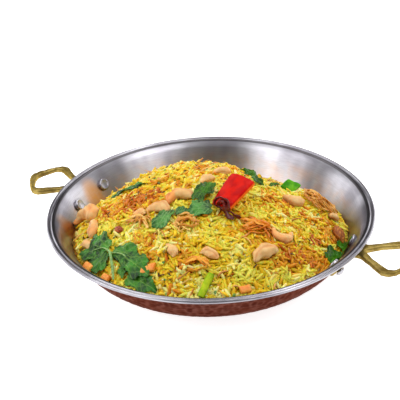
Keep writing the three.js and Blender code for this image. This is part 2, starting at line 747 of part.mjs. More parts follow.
function onionShape(routes, width) {
  const strips = routes.map((route) => solidOf(strip(route, { width, thickness: 2.1 })));
  return strips.reduce((tangle, piece) => tangle.add(piece));
}

// ---- peppers, chilli, almond and carrot ---------------------------------------------------

// A curved slab of pepper flesh or carrot, its skin side up. taper widens it towards +X.
function slabShape({ length, width, thickness, bow, skew = 0, taper = 0 }) {
  const columns = 3;
  const rows = 3;
  return plate(columns, rows, (layer, column, row) => {
    const along = (column / columns - 0.5) * length;
    const share = 2 * (row / rows) - 1;
    const across = (share * width * (1 + (2 * taper * along) / length)) / 2;
    const arch = bow * (1 - share ** 2);
    return new THREE.Vector3(along + skew * across, across, arch + layer * thickness);
  });
}

const SLABS = [
  {
    name: "pepper_red",
    shape: { length: 34, width: 26.5, thickness: 3.6, bow: 1.6, skew: 0.15, taper: 0.18 },
    stand: { x: 33, y: -22, z: 78.5, turn: 77, rise: 23, roll: -13 },
    color: 0xf01a06,
  },
  {
    name: "pepper_green",
    shape: { length: 13, width: 11, thickness: 3, bow: 1.2, skew: 0.3 },
    stand: { x: 54.5, y: 46, z: 55.4, turn: 8, rise: -22, roll: 30 },
    color: 0x2fa51c,
  },
  {
    name: "chilli_green",
    shape: { length: 21, width: 6, thickness: 2.4, bow: 1.4 },
    place: { x: 46, y: -99, turn: -88, lift: 1.4 },
    color: 0xb4cc1c,
  },
  {
    name: "carrot_01",
    shape: { length: 11, width: 7, thickness: 4, bow: 0.8 },
    place: { x: -58, y: -102, turn: -25, lift: 0.6 },
    color: 0xf08a1c,
  },
  {
    name: "carrot_02",
    shape: { length: 8, width: 6, thickness: 3.5, bow: 0.5 },
    place: { x: -37, y: -111, turn: -20, lift: 0.6 },
    color: 0xee9628,
  },
  {
    name: "carrot_03",
    shape: { length: 13, width: 8, thickness: 3.5, bow: 0.8, skew: 0.4 },
    place: { x: -2, y: -103, turn: 30, lift: 0.8 },
    color: 0xf08414,
  },
  {
    name: "carrot_04",
    shape: { length: 9, width: 6, thickness: 3, bow: 0.5 },
    place: { x: 73, y: -86, turn: 46, lift: 0.8 },
    color: 0xeea040,
  },
];

// An almond or a plumped raisin: an egg shape with a pointed end.
function kernelShape({ length, width, height }) {
  const sides = 8;
  const rings = [0.12, 0.32, 0.55, 0.8].map((share) =>
    Array.from({ length: sides }, (_, side) => {
      const turn = (2 * Math.PI * side) / sides;
      const round = Math.sin(Math.PI * share ** 0.85) ** 0.7;
      return new THREE.Vector3(
        (share - 0.5) * length,
        (width / 2) * round * Math.cos(turn),
        (height / 2) * round * Math.sin(turn),
      );
    }),
  );
  const start = new THREE.Vector3(-length / 2, 0, 0);
  return ringedSolid(rings, start, new THREE.Vector3(length / 2, 0, 0));
}

const KERNELS = [
  {
    name: "almond",
    shape: { length: 18, width: 12, height: 8 },
    place: { x: 106, y: 25, turn: -36, lift: 3 },
    color: 0xa45414,
  },
  {
    name: "raisin_01",
    shape: { length: 11, width: 7, height: 5 },
    place: { x: -46, y: -73, turn: -12, lift: 1.6 },
    color: 0x8c2e0e,
  },
];

// ---- the whole ----------------------------------------------------------------------------

const biryani = new THREE.Group();

function put(name, geometry, material) {
  const mesh = new THREE.Mesh(geometry, material);
  mesh.name = name;
  biryani.add(mesh);
}

const laid = [];
const NUDGES = [[1, 0, 0], [-1, 0, 0], [0, 1, 0], [0, -1, 0], [0, 0, 1], [0, 0, -1]];

const apart = (one, other) =>
  [0, 1, 2].some((axis) => one.min[axis] > other.max[axis] || other.min[axis] > one.max[axis]);

// Beds a topping in the rice, and trims it clear of the rivets and of the toppings laid before it.
function top(name, solid, material) {
  let piece = bedded(solid);
  for (const other of laid) {
    if (apart(piece.boundingBox(), other.boundingBox())) continue;
    for (const nudge of NUDGES)
      piece = piece.subtract(other.translate(...nudge.map((share) => share * CLEARANCE)));
  }
  piece = largestOf(piece);
  laid.push(piece);
  put(name, geometryOf(piece), material);
}

function drilled(geometry) {
  let solid = solidOf(geometry);
  for (const rivet of RIVETS) solid = solid.subtract(rivetHole(rivet));
  return geometryOf(solid);
}

put("pan_copper", drilled(copperSleeve()), copperFinish());
put("pan_steel", drilled(steelBowl()), steelFinish());
put("grip_right", gripShape(1), brassFinish());
put("grip_left", gripShape(-1), brassFinish());
for (const rivet of RIVETS) {
  put(rivet.name, rivetShape(rivet), steelFinish());
  laid.push(solidOf(rivetShape(rivet)));
}
put("rice", geometryOf(rice), riceFinish());
for (const cashew of CASHEWS)
  top(cashew.name, solidOf(lay(cashewShape(cashew), cashew)), cashewFinish());
for (const { name, shape, place, stand: pose, color } of SLABS) {
  const slab = slabShape(shape);
  top(name, solidOf(pose ? stand(slab, pose) : lay(slab, place)), finish(color, 0.35, 0));
}
for (const { name, shape, place, color } of KERNELS)
  top(name, solidOf(lay(kernelShape(shape), place)), finish(color, 0.5, 0));
for (const leaf of LEAVES) top(leaf.name, solidOf(drape(leafShape(leaf), leaf)), leafFinish());
for (const leaf of STANDING_LEAVES)
  top(leaf.name, solidOf(stand(leafShape(leaf), leaf)), leafFinish());
top("sprig", sprigShape(), leafFinish());
top(DARK_ONION.name, onionShape(DARK_ONION.routes, 4.4), finish(DARK_ONION.color, 0.4, 0));
for (const onion of ONIONS)
  top(onion.name, onionShape(onionRoutes(onion), 3.2), finish(onion.color, 0.4, 0));

export default biryani;
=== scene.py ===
# %% [markdown]
# # A vegetable biryani in its serving pan
# The dish is long-grain rice cooked with saffron, heaped in a shallow two-handled pan. Cashews,
# fried onions, coriander, peppers and a few bits of carrot lie on it. The pan is a steel bowl in a
# sleeve of hammered copper, with cast brass grips. All lengths in the tables are in millimetres,
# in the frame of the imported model, and each mesh is brought to metres when it is made.

import math

import bpy
import numpy as np
from mathutils import Matrix, Quaternion, Vector, noise
from mathutils.bvhtree import BVHTree
from mathutils.kdtree import KDTree


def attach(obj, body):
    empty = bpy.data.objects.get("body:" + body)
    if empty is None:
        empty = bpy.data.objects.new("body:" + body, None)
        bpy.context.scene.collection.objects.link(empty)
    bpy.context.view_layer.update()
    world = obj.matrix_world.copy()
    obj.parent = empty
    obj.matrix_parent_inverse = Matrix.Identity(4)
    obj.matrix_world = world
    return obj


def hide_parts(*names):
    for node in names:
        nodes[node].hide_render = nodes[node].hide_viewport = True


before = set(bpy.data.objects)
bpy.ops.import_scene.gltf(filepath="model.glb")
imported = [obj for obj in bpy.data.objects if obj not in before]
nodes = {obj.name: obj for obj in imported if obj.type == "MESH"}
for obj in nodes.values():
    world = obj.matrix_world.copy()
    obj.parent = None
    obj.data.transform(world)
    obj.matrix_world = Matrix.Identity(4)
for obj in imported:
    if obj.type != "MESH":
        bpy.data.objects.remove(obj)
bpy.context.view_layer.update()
scene = bpy.context.scene
MM = 0.001
TURN = 2 * math.pi

# %% [markdown]
# ## Small helpers
# Each piece is a mesh of points in millimetres. It rides on the one body of the dish, takes the
# finish that it is given, and hides the imported solid that it stands for.

# %% helpers for meshes
pieces = {}


def piece(name, slot, node, finish, points, faces, values=()):
    """A mesh of points in millimetres, which stands for one solid; values are numbers per point."""
    mesh = bpy.data.meshes.new(name)
    mesh.from_pydata((np.asarray(points, float) * MM).tolist(), [], faces)
    for key, numbers in dict(values).items():
        layer = mesh.attributes.new(key, "FLOAT", "POINT")
        layer.data.foreach_set("value", np.asarray(numbers, np.float32))
    mesh.update()
    mesh.shade_smooth()
    mesh.materials.append(finish.material)
    obj = bpy.data.objects.new(name, mesh)
    scene.collection.objects.link(obj)
    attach(obj, "root")
    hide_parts(node)
    pieces[name] = obj
    return obj


def joined(parts):
    """Several (points, faces, values) as one, with the faces renumbered."""
    points, faces, values, start = [], [], {}, 0
    for spots, polygons, *numbers in parts:
        points.append(spots)
        faces += [[corner + start for corner in polygon] for polygon in polygons]
        for key, value in dict(*numbers).items():
            values.setdefault(key, []).append(np.broadcast_to(value, len(spots)))
        start += len(spots)
    return np.concatenate(points), faces, {k: np.concatenate(v) for k, v in values.items()}


def triangles(faces):
    return sum(len(face) - 2 for face in faces)


def bands(rows, sides, start=0, inward=False):
    """The faces between rings of points that follow each other."""
    faces = []
    for row in range(rows - 1):
        for side in range(sides):
            a, b = (start + row * sides + step % sides for step in (side, side + 1))
            faces.append([a, a + sides, b + sides, b] if inward else [a, b, b + sides, a + sides])
    return faces


def lathe(profile, sides, shift=None):
    """A closed profile of (radius, height) turned round Z; shift moves points in or out."""
    count, turn = len(profile), np.arange(sides) * TURN / sides
    radius, height = (np.repeat(np.asarray(profile, float)[:, k:k + 1], sides, 1) for k in (0, 1))
    points = np.stack([radius * np.cos(turn), radius * np.sin(turn), height], -1)
    if shift is not None:
        points = points + shift(points)
    # The two ends meet on the axis, so each is closed by one flat face.
    last = (count - 1) * sides
    faces = bands(count, sides) + [[*range(sides)][::-1], [*range(last, last + sides)]]
    return points.reshape(-1, 3), faces


def tube(rings, start, end):
    """A closed tube through rings of points, with a point at each end."""
    rings = np.asarray(rings, float)
    count, sides = rings.shape[:2]
    points = np.concatenate([[start], rings.reshape(-1, 3), [end]])
    faces, last = bands(count, sides, 1), 1 + (count - 1) * sides
    for side in range(sides):
        after = (side + 1) % sides
        faces += [[0, 1 + after, 1 + side], [len(points) - 1, last + side, last + after]]
    return points, faces


def turned_by(points, axis, degrees):
    matrix = np.array(Matrix.Rotation(math.radians(degrees), 3, axis))
    return np.asarray(points) @ matrix.T


def rumple(points, size, depth, seed=0):
    """Soft noise for each point, from -depth to depth, with bumps of about that size."""
    shift = Vector((seed * 17.3, seed * 5.1, seed * 9.7))
    return np.array([noise.noise(Vector(p) / size + shift) for p in np.asarray(points)]) * depth


def swollen(points, faces, amount):
    """Points moved along the surface's own normals by an amount for each."""
    mesh = bpy.data.meshes.new("scratch")
    mesh.from_pydata(np.asarray(points).tolist(), [], faces)
    mesh.update()
    normals = np.zeros(len(points) * 3, np.float32)
    mesh.vertices.foreach_get("normal", normals)
    bpy.data.meshes.remove(mesh)
    return np.asarray(points) + normals.reshape(-1, 3) * np.asarray(amount)[:, None]


def copied(mesh):
    """A Blender mesh as points in millimetres and faces."""
    spots = np.zeros(len(mesh.vertices) * 3, np.float32)
    mesh.vertices.foreach_get("co", spots)
    return spots.reshape(-1, 3) / MM, [list(polygon.vertices) for polygon in mesh.polygons]


# %% [markdown]
# ## Finishes
# A finish is a Principled shader. Its steady numbers are set on the shader's own sockets, and only
# what varies over a surface is wired. A Field is a number that varies; it can be added, multiplied
# and so on as if it were a plain number.

# %% the finish tools
def rgb(red, green, blue):
    """A colour as a screen shows it, 0 to 255, brought to linear light."""
    linear = [c / 12.92 if c <= 0.04045 else ((c + 0.055) / 1.055) ** 2.4
              for c in (red / 255, green / 255, blue / 255)]
    return (*linear, 1.0)


class Field:
    def __init__(self, finish, socket):
        self.finish, self.socket = finish, socket

    def by(self, operation, *others):
        inputs = dict(enumerate((self, *others)))
        return self.finish.node("ShaderNodeMath", {"operation": operation}, inputs)

    __add__ = __radd__ = lambda self, other: self.by("ADD", other)
    __mul__ = __rmul__ = lambda self, other: self.by("MULTIPLY", other)
    __sub__ = lambda self, other: self.by("SUBTRACT", other)
    __rsub__ = lambda self, other: self.by("MULTIPLY_ADD", -1.0, other)
    __truediv__ = lambda self, other: self.by("DIVIDE", other)
    __pow__ = lambda self, other: self.by("POWER", other)

    def step(self, low, high):
        """0 below low, 1 above high, and smooth between."""
        inputs = {"Value": self, "From Min": low, "From Max": high}
        kind = {"interpolation_type": "SMOOTHSTEP"}
        return self.finish.node("ShaderNodeMapRange", kind, inputs)


class Finish:
    def __init__(self, name, **steady):
        self.material = bpy.data.materials.new(name)
        self.material.use_nodes = True
        self.tree = self.material.node_tree
        self.shader = self.tree.nodes["Principled BSDF"]
        self.set(**steady)
        self.spot = self.node("ShaderNodeTexCoord", out="Object")

    def node(self, kind, settings=None, inputs=None, out=0):
        made = self.tree.nodes.new(kind)
        for key, value in (settings or {}).items():
            setattr(made, key, value)
        for key, value in (inputs or {}).items():
            self.plug(made.inputs[key], value)
        return Field(self, made.outputs[out])

    def plug(self, socket, value):
        if isinstance(value, Field):
            self.tree.links.new(value.socket, socket)
        else:
            socket.default_value = value

    def set(self, **values):
        """Sets or wires sockets of the shader, named as in coat_weight."""
        for key, value in values.items():
            title = key.replace("_", " ").title().replace("Ior", "IOR")
            self.plug(self.shader.inputs[title], value)

    def noise(self, size, detail=4, rough=0.6, at=None):
        """Noise from 0 to 1 with features of about that size, in millimetres."""
        inputs = {"Vector": at or self.spot, "Scale": 1 / (size * MM), "Detail": detail,
                  "Roughness": rough}
        return self.node("ShaderNodeTexNoise", None, inputs)

    def cells(self, size):
        inputs = {"Vector": self.spot, "Scale": 1 / (size * MM)}
        return self.node("ShaderNodeTexVoronoi", None, inputs)

    def value(self, name):
        return self.node("ShaderNodeAttribute", {"attribute_name": name}, out="Fac")

    def axis(self, name):
        return self.node("ShaderNodeSeparateXYZ", None, {0: self.spot}, out=name)

    def mix(self, share, low, high):
        inputs = {0: share, 6: low, 7: high}
        return self.node("ShaderNodeMix", {"data_type": "RGBA"}, inputs, out=2)

    def dressed(self, colour, roughness, height, depth):
        """Gives colour, roughness and a relief of depth millimetres where height goes to 1."""
        inputs = {"Height": height, "Distance": depth * MM, "Strength": 1.0}
        relief = self.node("ShaderNodeBump", None, inputs)
        self.set(base_color=colour, roughness=roughness, normal=relief)
        return self

# %% [markdown]
# The steel is spun and brushed, so its scratches run round the bowl. The noise is laid in the
# turning direction and the slant height, which makes long thin lines of it.

# %% steel, copper and brass
def round_and_up(finish, around, radial, upward):
    """Coordinates round the pan's axis, out from it and up it, each with its own scale."""
    x, y, z = (finish.axis(name) for name in "XYZ")
    turn = finish.node("ShaderNodeMath", {"operation": "ARCTAN2"}, {0: y, 1: x})
    inputs = {0: turn * around, 1: (x * x + y * y) ** 0.5 * radial, 2: z * upward}
    return finish.node("ShaderNodeCombineXYZ", None, inputs)


PAINTED_RICE_REFLECTIONS = [(-119.5, 4.5, 12.5), (-105, -57, 13)]  # brown reflections of the rice and nuts, painted on the steel: x, y, size


def steel_finish(name, paints_rice_reflection):
    finish = Finish(name, metallic=1.0, anisotropic=0.7, anisotropic_rotation=0.25)
    lines = finish.noise(1.0, 4, 0.7, round_and_up(finish, 0.012, 2.6, 2.6))
    # Wedges of lighter and darker grey round the bowl are painted sheen: the radial light bands of
    # spun steel, painted into its colour.
    painted_radial_sheen = finish.noise(1.0, 2, 0.5, round_and_up(finish, 0.0042, 0.02, 0.02))
    wear = finish.noise(22)
    shade = finish.mix(painted_radial_sheen.step(0.3, 0.7), rgb(142, 139, 146), rgb(190, 188, 195))
    dull = finish.mix(lines.step(0.3, 0.8) * 0.4, shade, rgb(104, 100, 108))
    # Low on the wall, brown patches are painted into the steel's colour, with a stronger patch
    # round each listed place: painted reflections of the rice and nuts.
    low = 1 - finish.axis("Z").step(0.03, 0.038)
    rice_reflection = finish.noise(13, 3, 0.6).step(0.35, 0.7) * low * paints_rice_reflection * 0.3
    for x, y, size in PAINTED_RICE_REFLECTIONS:
        away = [(finish.axis(name) - at * MM) / (size * MM) for name, at in (("X", x), ("Y", y))]
        rice_reflection = rice_reflection + (1 - (away[0] ** 2 + away[1] ** 2).step(0.1, 1.3)) * paints_rice_reflection * 0.85
    with_painted_reflections = finish.mix(rice_reflection * 0.85, dull, rgb(196, 138, 70))
    radius = (finish.axis("X") ** 2 + finish.axis("Y") ** 2) ** 0.5 / MM
    # The flat band of the lip is painted nearly black: a painted dark reflection, not the steel's
    # own colour.
    painted_dark_lip = radius.step(132.4, 133.2) - radius.step(134.9, 135.7)
    with_painted_reflections = finish.mix(painted_dark_lip * 0.8, with_painted_reflections, rgb(56, 51, 50))
    return finish.dressed(with_painted_reflections, lines * 0.12 + wear * 0.1 + 0.2, lines, 0.035)


def copper_finish():
    finish = Finish("hammered copper", metallic=1.0, specular_tint=rgb(200, 166, 158))
    tarnish = finish.noise(16, 5, 0.6)
    fine = finish.noise(1.6, 3, 0.6)
    shade = finish.mix(tarnish.step(0.35, 0.7), rgb(92, 57, 51), rgb(70, 41, 37))
    worn = finish.mix(finish.value("ridge").step(0.3, 1.0) * 0.5, shade, rgb(140, 98, 90))
    shade = finish.mix(fine.step(0.5, 0.85) * 0.5, worn, rgb(64, 36, 32))
    return finish.dressed(shade, tarnish * 0.25 + 0.3, fine, 0.06)


def brass_finish():
    finish = Finish("cast brass", metallic=0.9, specular_tint=rgb(222, 206, 160))
    grain = finish.noise(0.7, 4, 0.65)
    patina = finish.noise(9)
    shade = finish.mix(patina.step(0.35, 0.7), rgb(166, 144, 80), rgb(114, 94, 46))
    return finish.dressed(shade, patina * 0.25 + 0.3, grain, 0.12)


STEEL = steel_finish("brushed steel", 1)
RIVET = steel_finish("rivet steel", 0)
COPPER = copper_finish()
BRASS = brass_finish()

# %% [markdown]
# ## The pan
# Both sheets follow one curve from the flat base up the belly to the copper's top edge. The steel
# goes on past it, flares into a flat band, and ends in a rolled bead with a groove before it.

# %% the wall's curve
WALL = np.array([(69, 0), (114.5, 0), (115.8, 18.5), (131, 40)], float)


def wall(offset, steps):
    """The copper's outer face moved into the bowl by an offset, from the base to the top."""
    t = np.linspace(0, 1, steps + 1)[:, None]
    s = 1 - t
    at = s**3 * WALL[0] + 3 * s * s * t * WALL[1] + 3 * s * t * t * WALL[2] + t**3 * WALL[3]
    way = s * s * (WALL[1] - WALL[0]) + 2 * s * t * (WALL[2] - WALL[1])
    way = way + t * t * (WALL[3] - WALL[2])
    way /= np.linalg.norm(way, axis=1)[:, None]
    return at + np.stack([-way[:, 1], way[:, 0]], 1) * offset


INNER = wall(2.0, 80)
OUTER = wall(0.0, 80)


def bowl_height(radius):
    beyond = INNER[-1, 1] + (np.asarray(radius) - INNER[-1, 0]) * 0.8
    return np.where(radius > INNER[-1, 0], beyond, np.interp(radius, INNER[:, 0], INNER[:, 1]))


def wall_radius(height):
    return float(np.interp(height, OUTER[:, 1], OUTER[:, 0]))


# %% the steel bowl
BEAD_OUT, BEAD_UP, BEAD_ROUND = 138.6, 44.6, 1.4  # the bead's place, and its own radius


def bead(start, stop, count):
    turn = np.radians(np.linspace(start, stop, count))
    return [(BEAD_OUT + BEAD_ROUND * math.cos(a), BEAD_UP + BEAD_ROUND * math.sin(a)) for a in turn]


bowl_profile = [(0.01, 1.1), *wall(1.1, 24), (131.6, 42.1), (133.0, 43.3), (134.2, 44.1)]
bowl_profile += [(135.4, 44.4), (136.6, 44.2), (137.4, 43.7), *bead(-125, 150, 16)]
bowl_profile += [(136.5, 44.85), (136.15, 44.95), (135.8, 45.3), (135.2, 45.42), (134.4, 45.3)]
bowl_profile += [(133.4, 44.75), (132.2, 43.85), (130.9, 42.7), *wall(2.0, 44)[::-1]]
bowl_profile += [(40, 2.0), (0.01, 2.0)]
piece("steel_bowl", "steel", "pan_steel", STEEL, *lathe(bowl_profile, 240))

# %% [markdown]
# The copper is beaten on the outside with a round-faced hammer, in rows that overlap. Each blow
# leaves a shallow dish, and a soft ridge stands where two dishes meet, so a point is pushed in by
# how near it is to the closest blow.

# %% the hammered copper
FLAT = 70  # the radius of the base, which isn't beaten
DISH, DEEP = 3.2, 0.55  # how wide and how deep a full blow is


def hammer_blows():
    """The blows' places, as a tree, and how hard each was."""
    rng, blows = np.random.default_rng(5), []
    reach = np.concatenate([[0], np.cumsum(np.linalg.norm(np.diff(OUTER, axis=0), axis=1))])
    for row, along in enumerate(np.arange(2, reach[-1] - 1, 4.4)):
        radius, height = (np.interp(along, reach, OUTER[:, k]) for k in (0, 1))
        count = int(TURN * radius / 4.6)
        for step in range(count):
            turn = TURN * (step + 0.5 * (row % 2) + rng.normal(0, 0.26)) / count
            slip = rng.normal(0, 0.8)
            blows.append((radius * math.cos(turn), radius * math.sin(turn), height + slip))
    tree = KDTree(len(blows))
    for index, blow in enumerate(blows):
        tree.insert(blow, index)
    tree.balance()
    return tree, rng.uniform(0.5, 1, len(blows))


def hammered(points):
    """How far each point is beaten in; the share of ridge at each goes to ridges."""
    tree, force = hammer_blows()
    flat = points.reshape(-1, 3)
    inward = np.zeros_like(flat)
    ridges.extend([0.0] * len(flat))
    for index, spot in enumerate(flat):
        radius = math.hypot(spot[0], spot[1])
        if radius < FLAT or radius < wall_radius(spot[2]) - 0.3:
            continue
        _, blow, away = tree.find(spot)
        ridges[index] = 1 - max(0.0, 1 - (away / 3.0) ** 2) * force[blow]
        dish = DEEP * force[blow] * max(0.0, 1 - (away / DISH) ** 2)
        inward[index, :2] = -spot[:2] / radius * dish
    return inward.reshape(points.shape)


ridges = []
sleeve = [(0.01, 0), (60, 0), *wall(0.0, 60), (130.75, 40.38), *wall(0.8, 10)[::-1]]
sleeve += [(30, 0.8), (0.01, 0.8)]
piece("copper_sleeve", "copper", "pan_copper", COPPER, *lathe(sleeve, 640, hammered),
      {"ridge": ridges})

# %% [markdown]
# Each rivet has a flat head with a faint raised ring inside the bowl, and a button outside.

# %% the rivets
HEAD = [(0.01, -4.3), (2.4, -4.35), (3.5, -4.55), (4.2, -4.75), (4.8, -4.7), (5.2, -4.4)]
HEAD += [(5.4, -3.9), (5.4, -2.2), (5.2, -2.05), (2.5, -2.05), (2.5, 3.8), (3.7, 3.8)]
HEAD += [(4.0, 4.1), (4.0, 5.0), (3.6, 5.6), (2.6, 6.2), (1.3, 6.6), (0.01, 6.7)]
RIVET_HEIGHT, RIVET_ASIDE = 31, 21  # over the table, and from the middle of the grip
radius = wall_radius(RIVET_HEIGHT)
lean = math.degrees(math.atan2(wall_radius(RIVET_HEIGHT + 3) - wall_radius(RIVET_HEIGHT - 3), 6))
for side, spread in ((1, -1), (1, 1), (-1, -1), (-1, 1)):
    name = ("right" if side > 0 else "left") + ("_front" if spread < 0 else "_back")
    out = math.sqrt(radius**2 - RIVET_ASIDE**2)
    place = math.degrees(math.atan2(spread * RIVET_ASIDE, side * out))
    points, faces = lathe(HEAD, 40)
    points = turned_by(points, "Y", 90 + lean) + (radius, 0, RIVET_HEIGHT)
    points = turned_by(points, "Z", place)
    piece(f"rivet_head_{name}", "steel", f"rivet_{name}", RIVET, points, faces)

# %% [markdown]
# The grips are cast in sand, so their edges are soft and their faces uneven. The solid of each is
# melted into small voxels, smoothed, and given the casting's slight waviness.

# %% the grips
def cast_copy(name, node):
    obj = bpy.data.objects.new(name, nodes[node].data.copy())
    scene.collection.objects.link(obj)
    melt = obj.modifiers.new("melt", "REMESH")
    melt.mode, melt.voxel_size = "VOXEL", 0.62 * MM
    soften = obj.modifiers.new("soften", "SMOOTH")
    soften.factor, soften.iterations = 0.6, 9
    bpy.context.view_layer.update()
    cast = bpy.data.meshes.new_from_object(obj.evaluated_get(bpy.context.evaluated_depsgraph_get()))
    bpy.data.objects.remove(obj)
    points, faces = copied(cast)
    bpy.data.meshes.remove(cast)
    wave = rumple(points, 6, 0.28, 1) + rumple(points, 1.6, 0.07, 2)
    return piece(name, "brass", node, BRASS, swollen(points, faces, wave + 0.12), faces)


for side in ("right", "left"):
    grip = cast_copy(f"brass_grip_{side}", f"grip_{side}")
    print(grip.name, len(grip.data.polygons), "faces")

# %% [markdown]
# ## The heap of rice
# The heap's shape is a broad dome with a few places where it was spooned higher or fell in. It
# meets the bowl's inner face in a ring.

# %% the heap's shape
TOP, TOP_X, TOP_Y = 74.5, 2, -11.5
FALL, STEEPER = 37, 2.16  # how far it falls over 100 mm from the top, and how that grows outward
SWELLS = [  # x, y, rise, spread
    (-58, 40, 2, 24), (12, 78, -6, 26), (-108, 10, -4, 22), (48, 52, 2, 20), (86, 45, 8, 21),
    (30, 57, -11, 26),
]


def heap_height(x, y):
    height = TOP - FALL * (np.hypot(np.subtract(x, TOP_X), np.subtract(y, TOP_Y)) / 100) ** STEEPER
    for sx, sy, rise, spread in SWELLS:
        away = np.subtract(x, sx) ** 2 + np.subtract(y, sy) ** 2
        height = height + rise * np.exp(-away / spread**2)
    return height


def patchy(x, y, size, depth, seed=0):
    """Soft noise over the heap, which goes by the place alone."""
    return rumple(np.stack([x, y, 0 * x], 1), size, depth, seed)


def clumps(x, y):
    """How far the loose clumps of rice stand up from the heap, or the gaps between them dip."""
    return patchy(x, y, 9, 1.9, 33) - 0.2


def heap_up(x, y):
    """The direction that stands square on the heap's slope."""
    slope_x = (heap_height(np.add(x, 4), y) - heap_height(np.subtract(x, 4), y)) / 8
    slope_y = (heap_height(x, np.add(y, 4)) - heap_height(x, np.subtract(y, 4))) / 8
    up = np.stack([-slope_x, -slope_y, np.ones_like(slope_x)], -1)
    return up / np.linalg.norm(up, axis=-1, keepdims=True)


def heap_edge(angle):
    low, high = np.full_like(angle, 90.0), np.full_like(angle, 131.0)
    for _ in range(24):
        middle = (low + high) / 2
        above = heap_height(middle * np.cos(angle), middle * np.sin(angle)) > bowl_height(middle)
        low, high = np.where(above, middle, low), np.where(above, high, middle)
    return low


# %% [markdown]
# Under the grains lies a core, which shows only as the dark gaps between them. It is sunk below
# the grains' own layer, and it is the colour of oily rice in shadow.

# %% the core under the grains
def core_finish():
    finish = Finish("rice in shadow")
    patch = finish.noise(14)
    shade = finish.mix(patch.step(0.35, 0.65), rgb(214, 164, 24), rgb(186, 120, 14))
    return finish.dressed(shade, 0.6, finish.cells(3.2), 1.0)


def rice_core(rings=64, sectors=260, sunk=2.3):
    turn = np.arange(sectors) * TURN / sectors
    edge = heap_edge(turn) + 0.6
    points = []
    for share in [*np.linspace(0.004, 1, rings), 0.9, 0.75, 0.55, 0.3, 0.004]:
        x, y = edge * share * np.cos(turn), edge * share * np.sin(turn)
        floor = bowl_height(edge * share)
        if len(points) < rings:
            lump = patchy(x, y, 5, 0.9) + clumps(x, y)
            z = np.maximum(heap_height(x, y) - sunk + lump * (1 - share**8), floor + 0.25)
        else:
            z = floor + 0.2
        points.append(np.stack([x, y, z], 1))
    last = (len(points) - 1) * sectors
    faces = bands(len(points), sectors, inward=True)
    faces += [[*range(sectors)], [*range(last, last + sectors)][::-1]]
    return np.concatenate(points), faces


piece("rice_core", "rice", "rice", core_finish(), *rice_core())

# %% [markdown]
# ## Laying the toppings
# A topping is made flat, with its up along Z, and is then laid on the heap's slope, draped over it,
# or stood up by itself.

# %% laying, draping and standing
def settle(points, up, turn):
    """Points turned round Z, and then leant until Z lies along up."""
    way = Vector((0, 0, 1)).rotation_difference(up) @ Quaternion((0, 0, 1), math.radians(turn))
    return np.asarray(points) @ np.array(way.to_matrix()).T


def lay(points, x, y, turn, lift):
    up = Vector(heap_up(x, y))
    return settle(points, up, turn) + ((x, y, float(heap_height(x, y))) + np.array(up) * lift)


def drape(points, x, y, turn, lift):
    points = turned_by(points, "Z", turn) + (x, y, 0)
    ground = np.maximum(heap_height(points[:, 0], points[:, 1]),
                        bowl_height(np.hypot(points[:, 0], points[:, 1])))
    points[:, 2] += ground + lift
    return points


def stand(points, x, y, z, turn, rise, roll=0):
    points = turned_by(turned_by(turned_by(points, "X", roll), "Y", -rise), "Z", turn)
    return points + (x, y, z)


def placed(shape, way, place):
    """A shape's points laid, draped or stood, with its faces and values as they are."""
    return way(shape[0], *place), *shape[1:]


# %% [markdown]
# ### Cashews
# A cashew is a fat kidney with one end blunter than the other. A seam runs along its inner and its
# outer edge, where the halves meet, and frying browns it in patches, most where it sticks out.

# %% cashew finish and shape
def nut_finish():
    finish = Finish("fried cashew", subsurface_weight=0.12, subsurface_scale=0.002,
                    specular_ior_level=0.25)
    cloud = finish.noise(7)
    fleck = finish.noise(1.1, 3, 0.7)
    toast = finish.value("toast") + (cloud - 0.5) * 0.9
    pale = finish.mix(cloud.step(0.3, 0.7), rgb(230, 192, 130), rgb(224, 170, 104))
    fried = finish.mix(toast.step(0.3, 0.8), pale, rgb(242, 160, 84))
    brown = finish.mix(toast.step(0.85, 1.35), fried, rgb(176, 88, 34))
    seam = finish.mix(finish.value("seam") * 0.5, brown, rgb(190, 104, 50))
    shade = finish.mix(fleck.step(0.6, 0.8) * 0.3, seam, rgb(206, 132, 72))
    return finish.dressed(shade, cloud * 0.25 + 0.3, fleck, 0.12)


def cashew(length, bulge=1, bend=125, flat=1.0, roll=0, split=0.07, seed=0):
    sides, stations = 32, 34
    arc = math.radians(bend)
    bow = length / (2 * math.sin(arc / 2) + 0.55)
    fat, reach = length * 0.203, length * 0.07
    turn = np.arange(sides) * TURN / sides
    around = turn - math.radians(roll)
    seam = np.exp(-(np.angle(np.exp(1j * around)) / 0.24) ** 2)
    seam = seam + np.exp(-(np.angle(np.exp(1j * (around - math.pi))) / 0.24) ** 2)
    rings, seams = [], []
    for share in 0.5 - 0.5 * np.cos(np.linspace(0.13, math.pi - 0.13, stations)):
        angle = (share - 0.5) * arc
        along = np.array((math.cos(angle), -bulge * math.sin(angle), 0))
        aside = np.array((-along[1], along[0], 0))
        centre = np.array((bow * math.sin(angle), bulge * bow * (math.cos(angle) - 0.72), 0))
        centre = centre + along * reach * np.sign(share - 0.5) * abs(2 * share - 1) ** 6
        thick = fat * math.sin(math.pi * share) ** 0.42 * (0.88 + 0.3 * share)
        cut = thick * (1 - split * seam * math.sin(math.pi * share))
        rings.append(centre + np.outer(cut * np.cos(turn), aside)
                     + np.outer(cut * 0.92 * flat * np.sin(turn), (0, 0, 1)))
        seams.append(seam)
    points, faces = tube(rings, rings[0].mean(0) * 1.004, rings[-1].mean(0) * 1.004)
    points = swollen(points, faces, rumple(points, 6, 1.5, seed) + rumple(points, 2, 0.3, seed))
    return points, faces, np.concatenate([[0], np.ravel(seams), [0]])


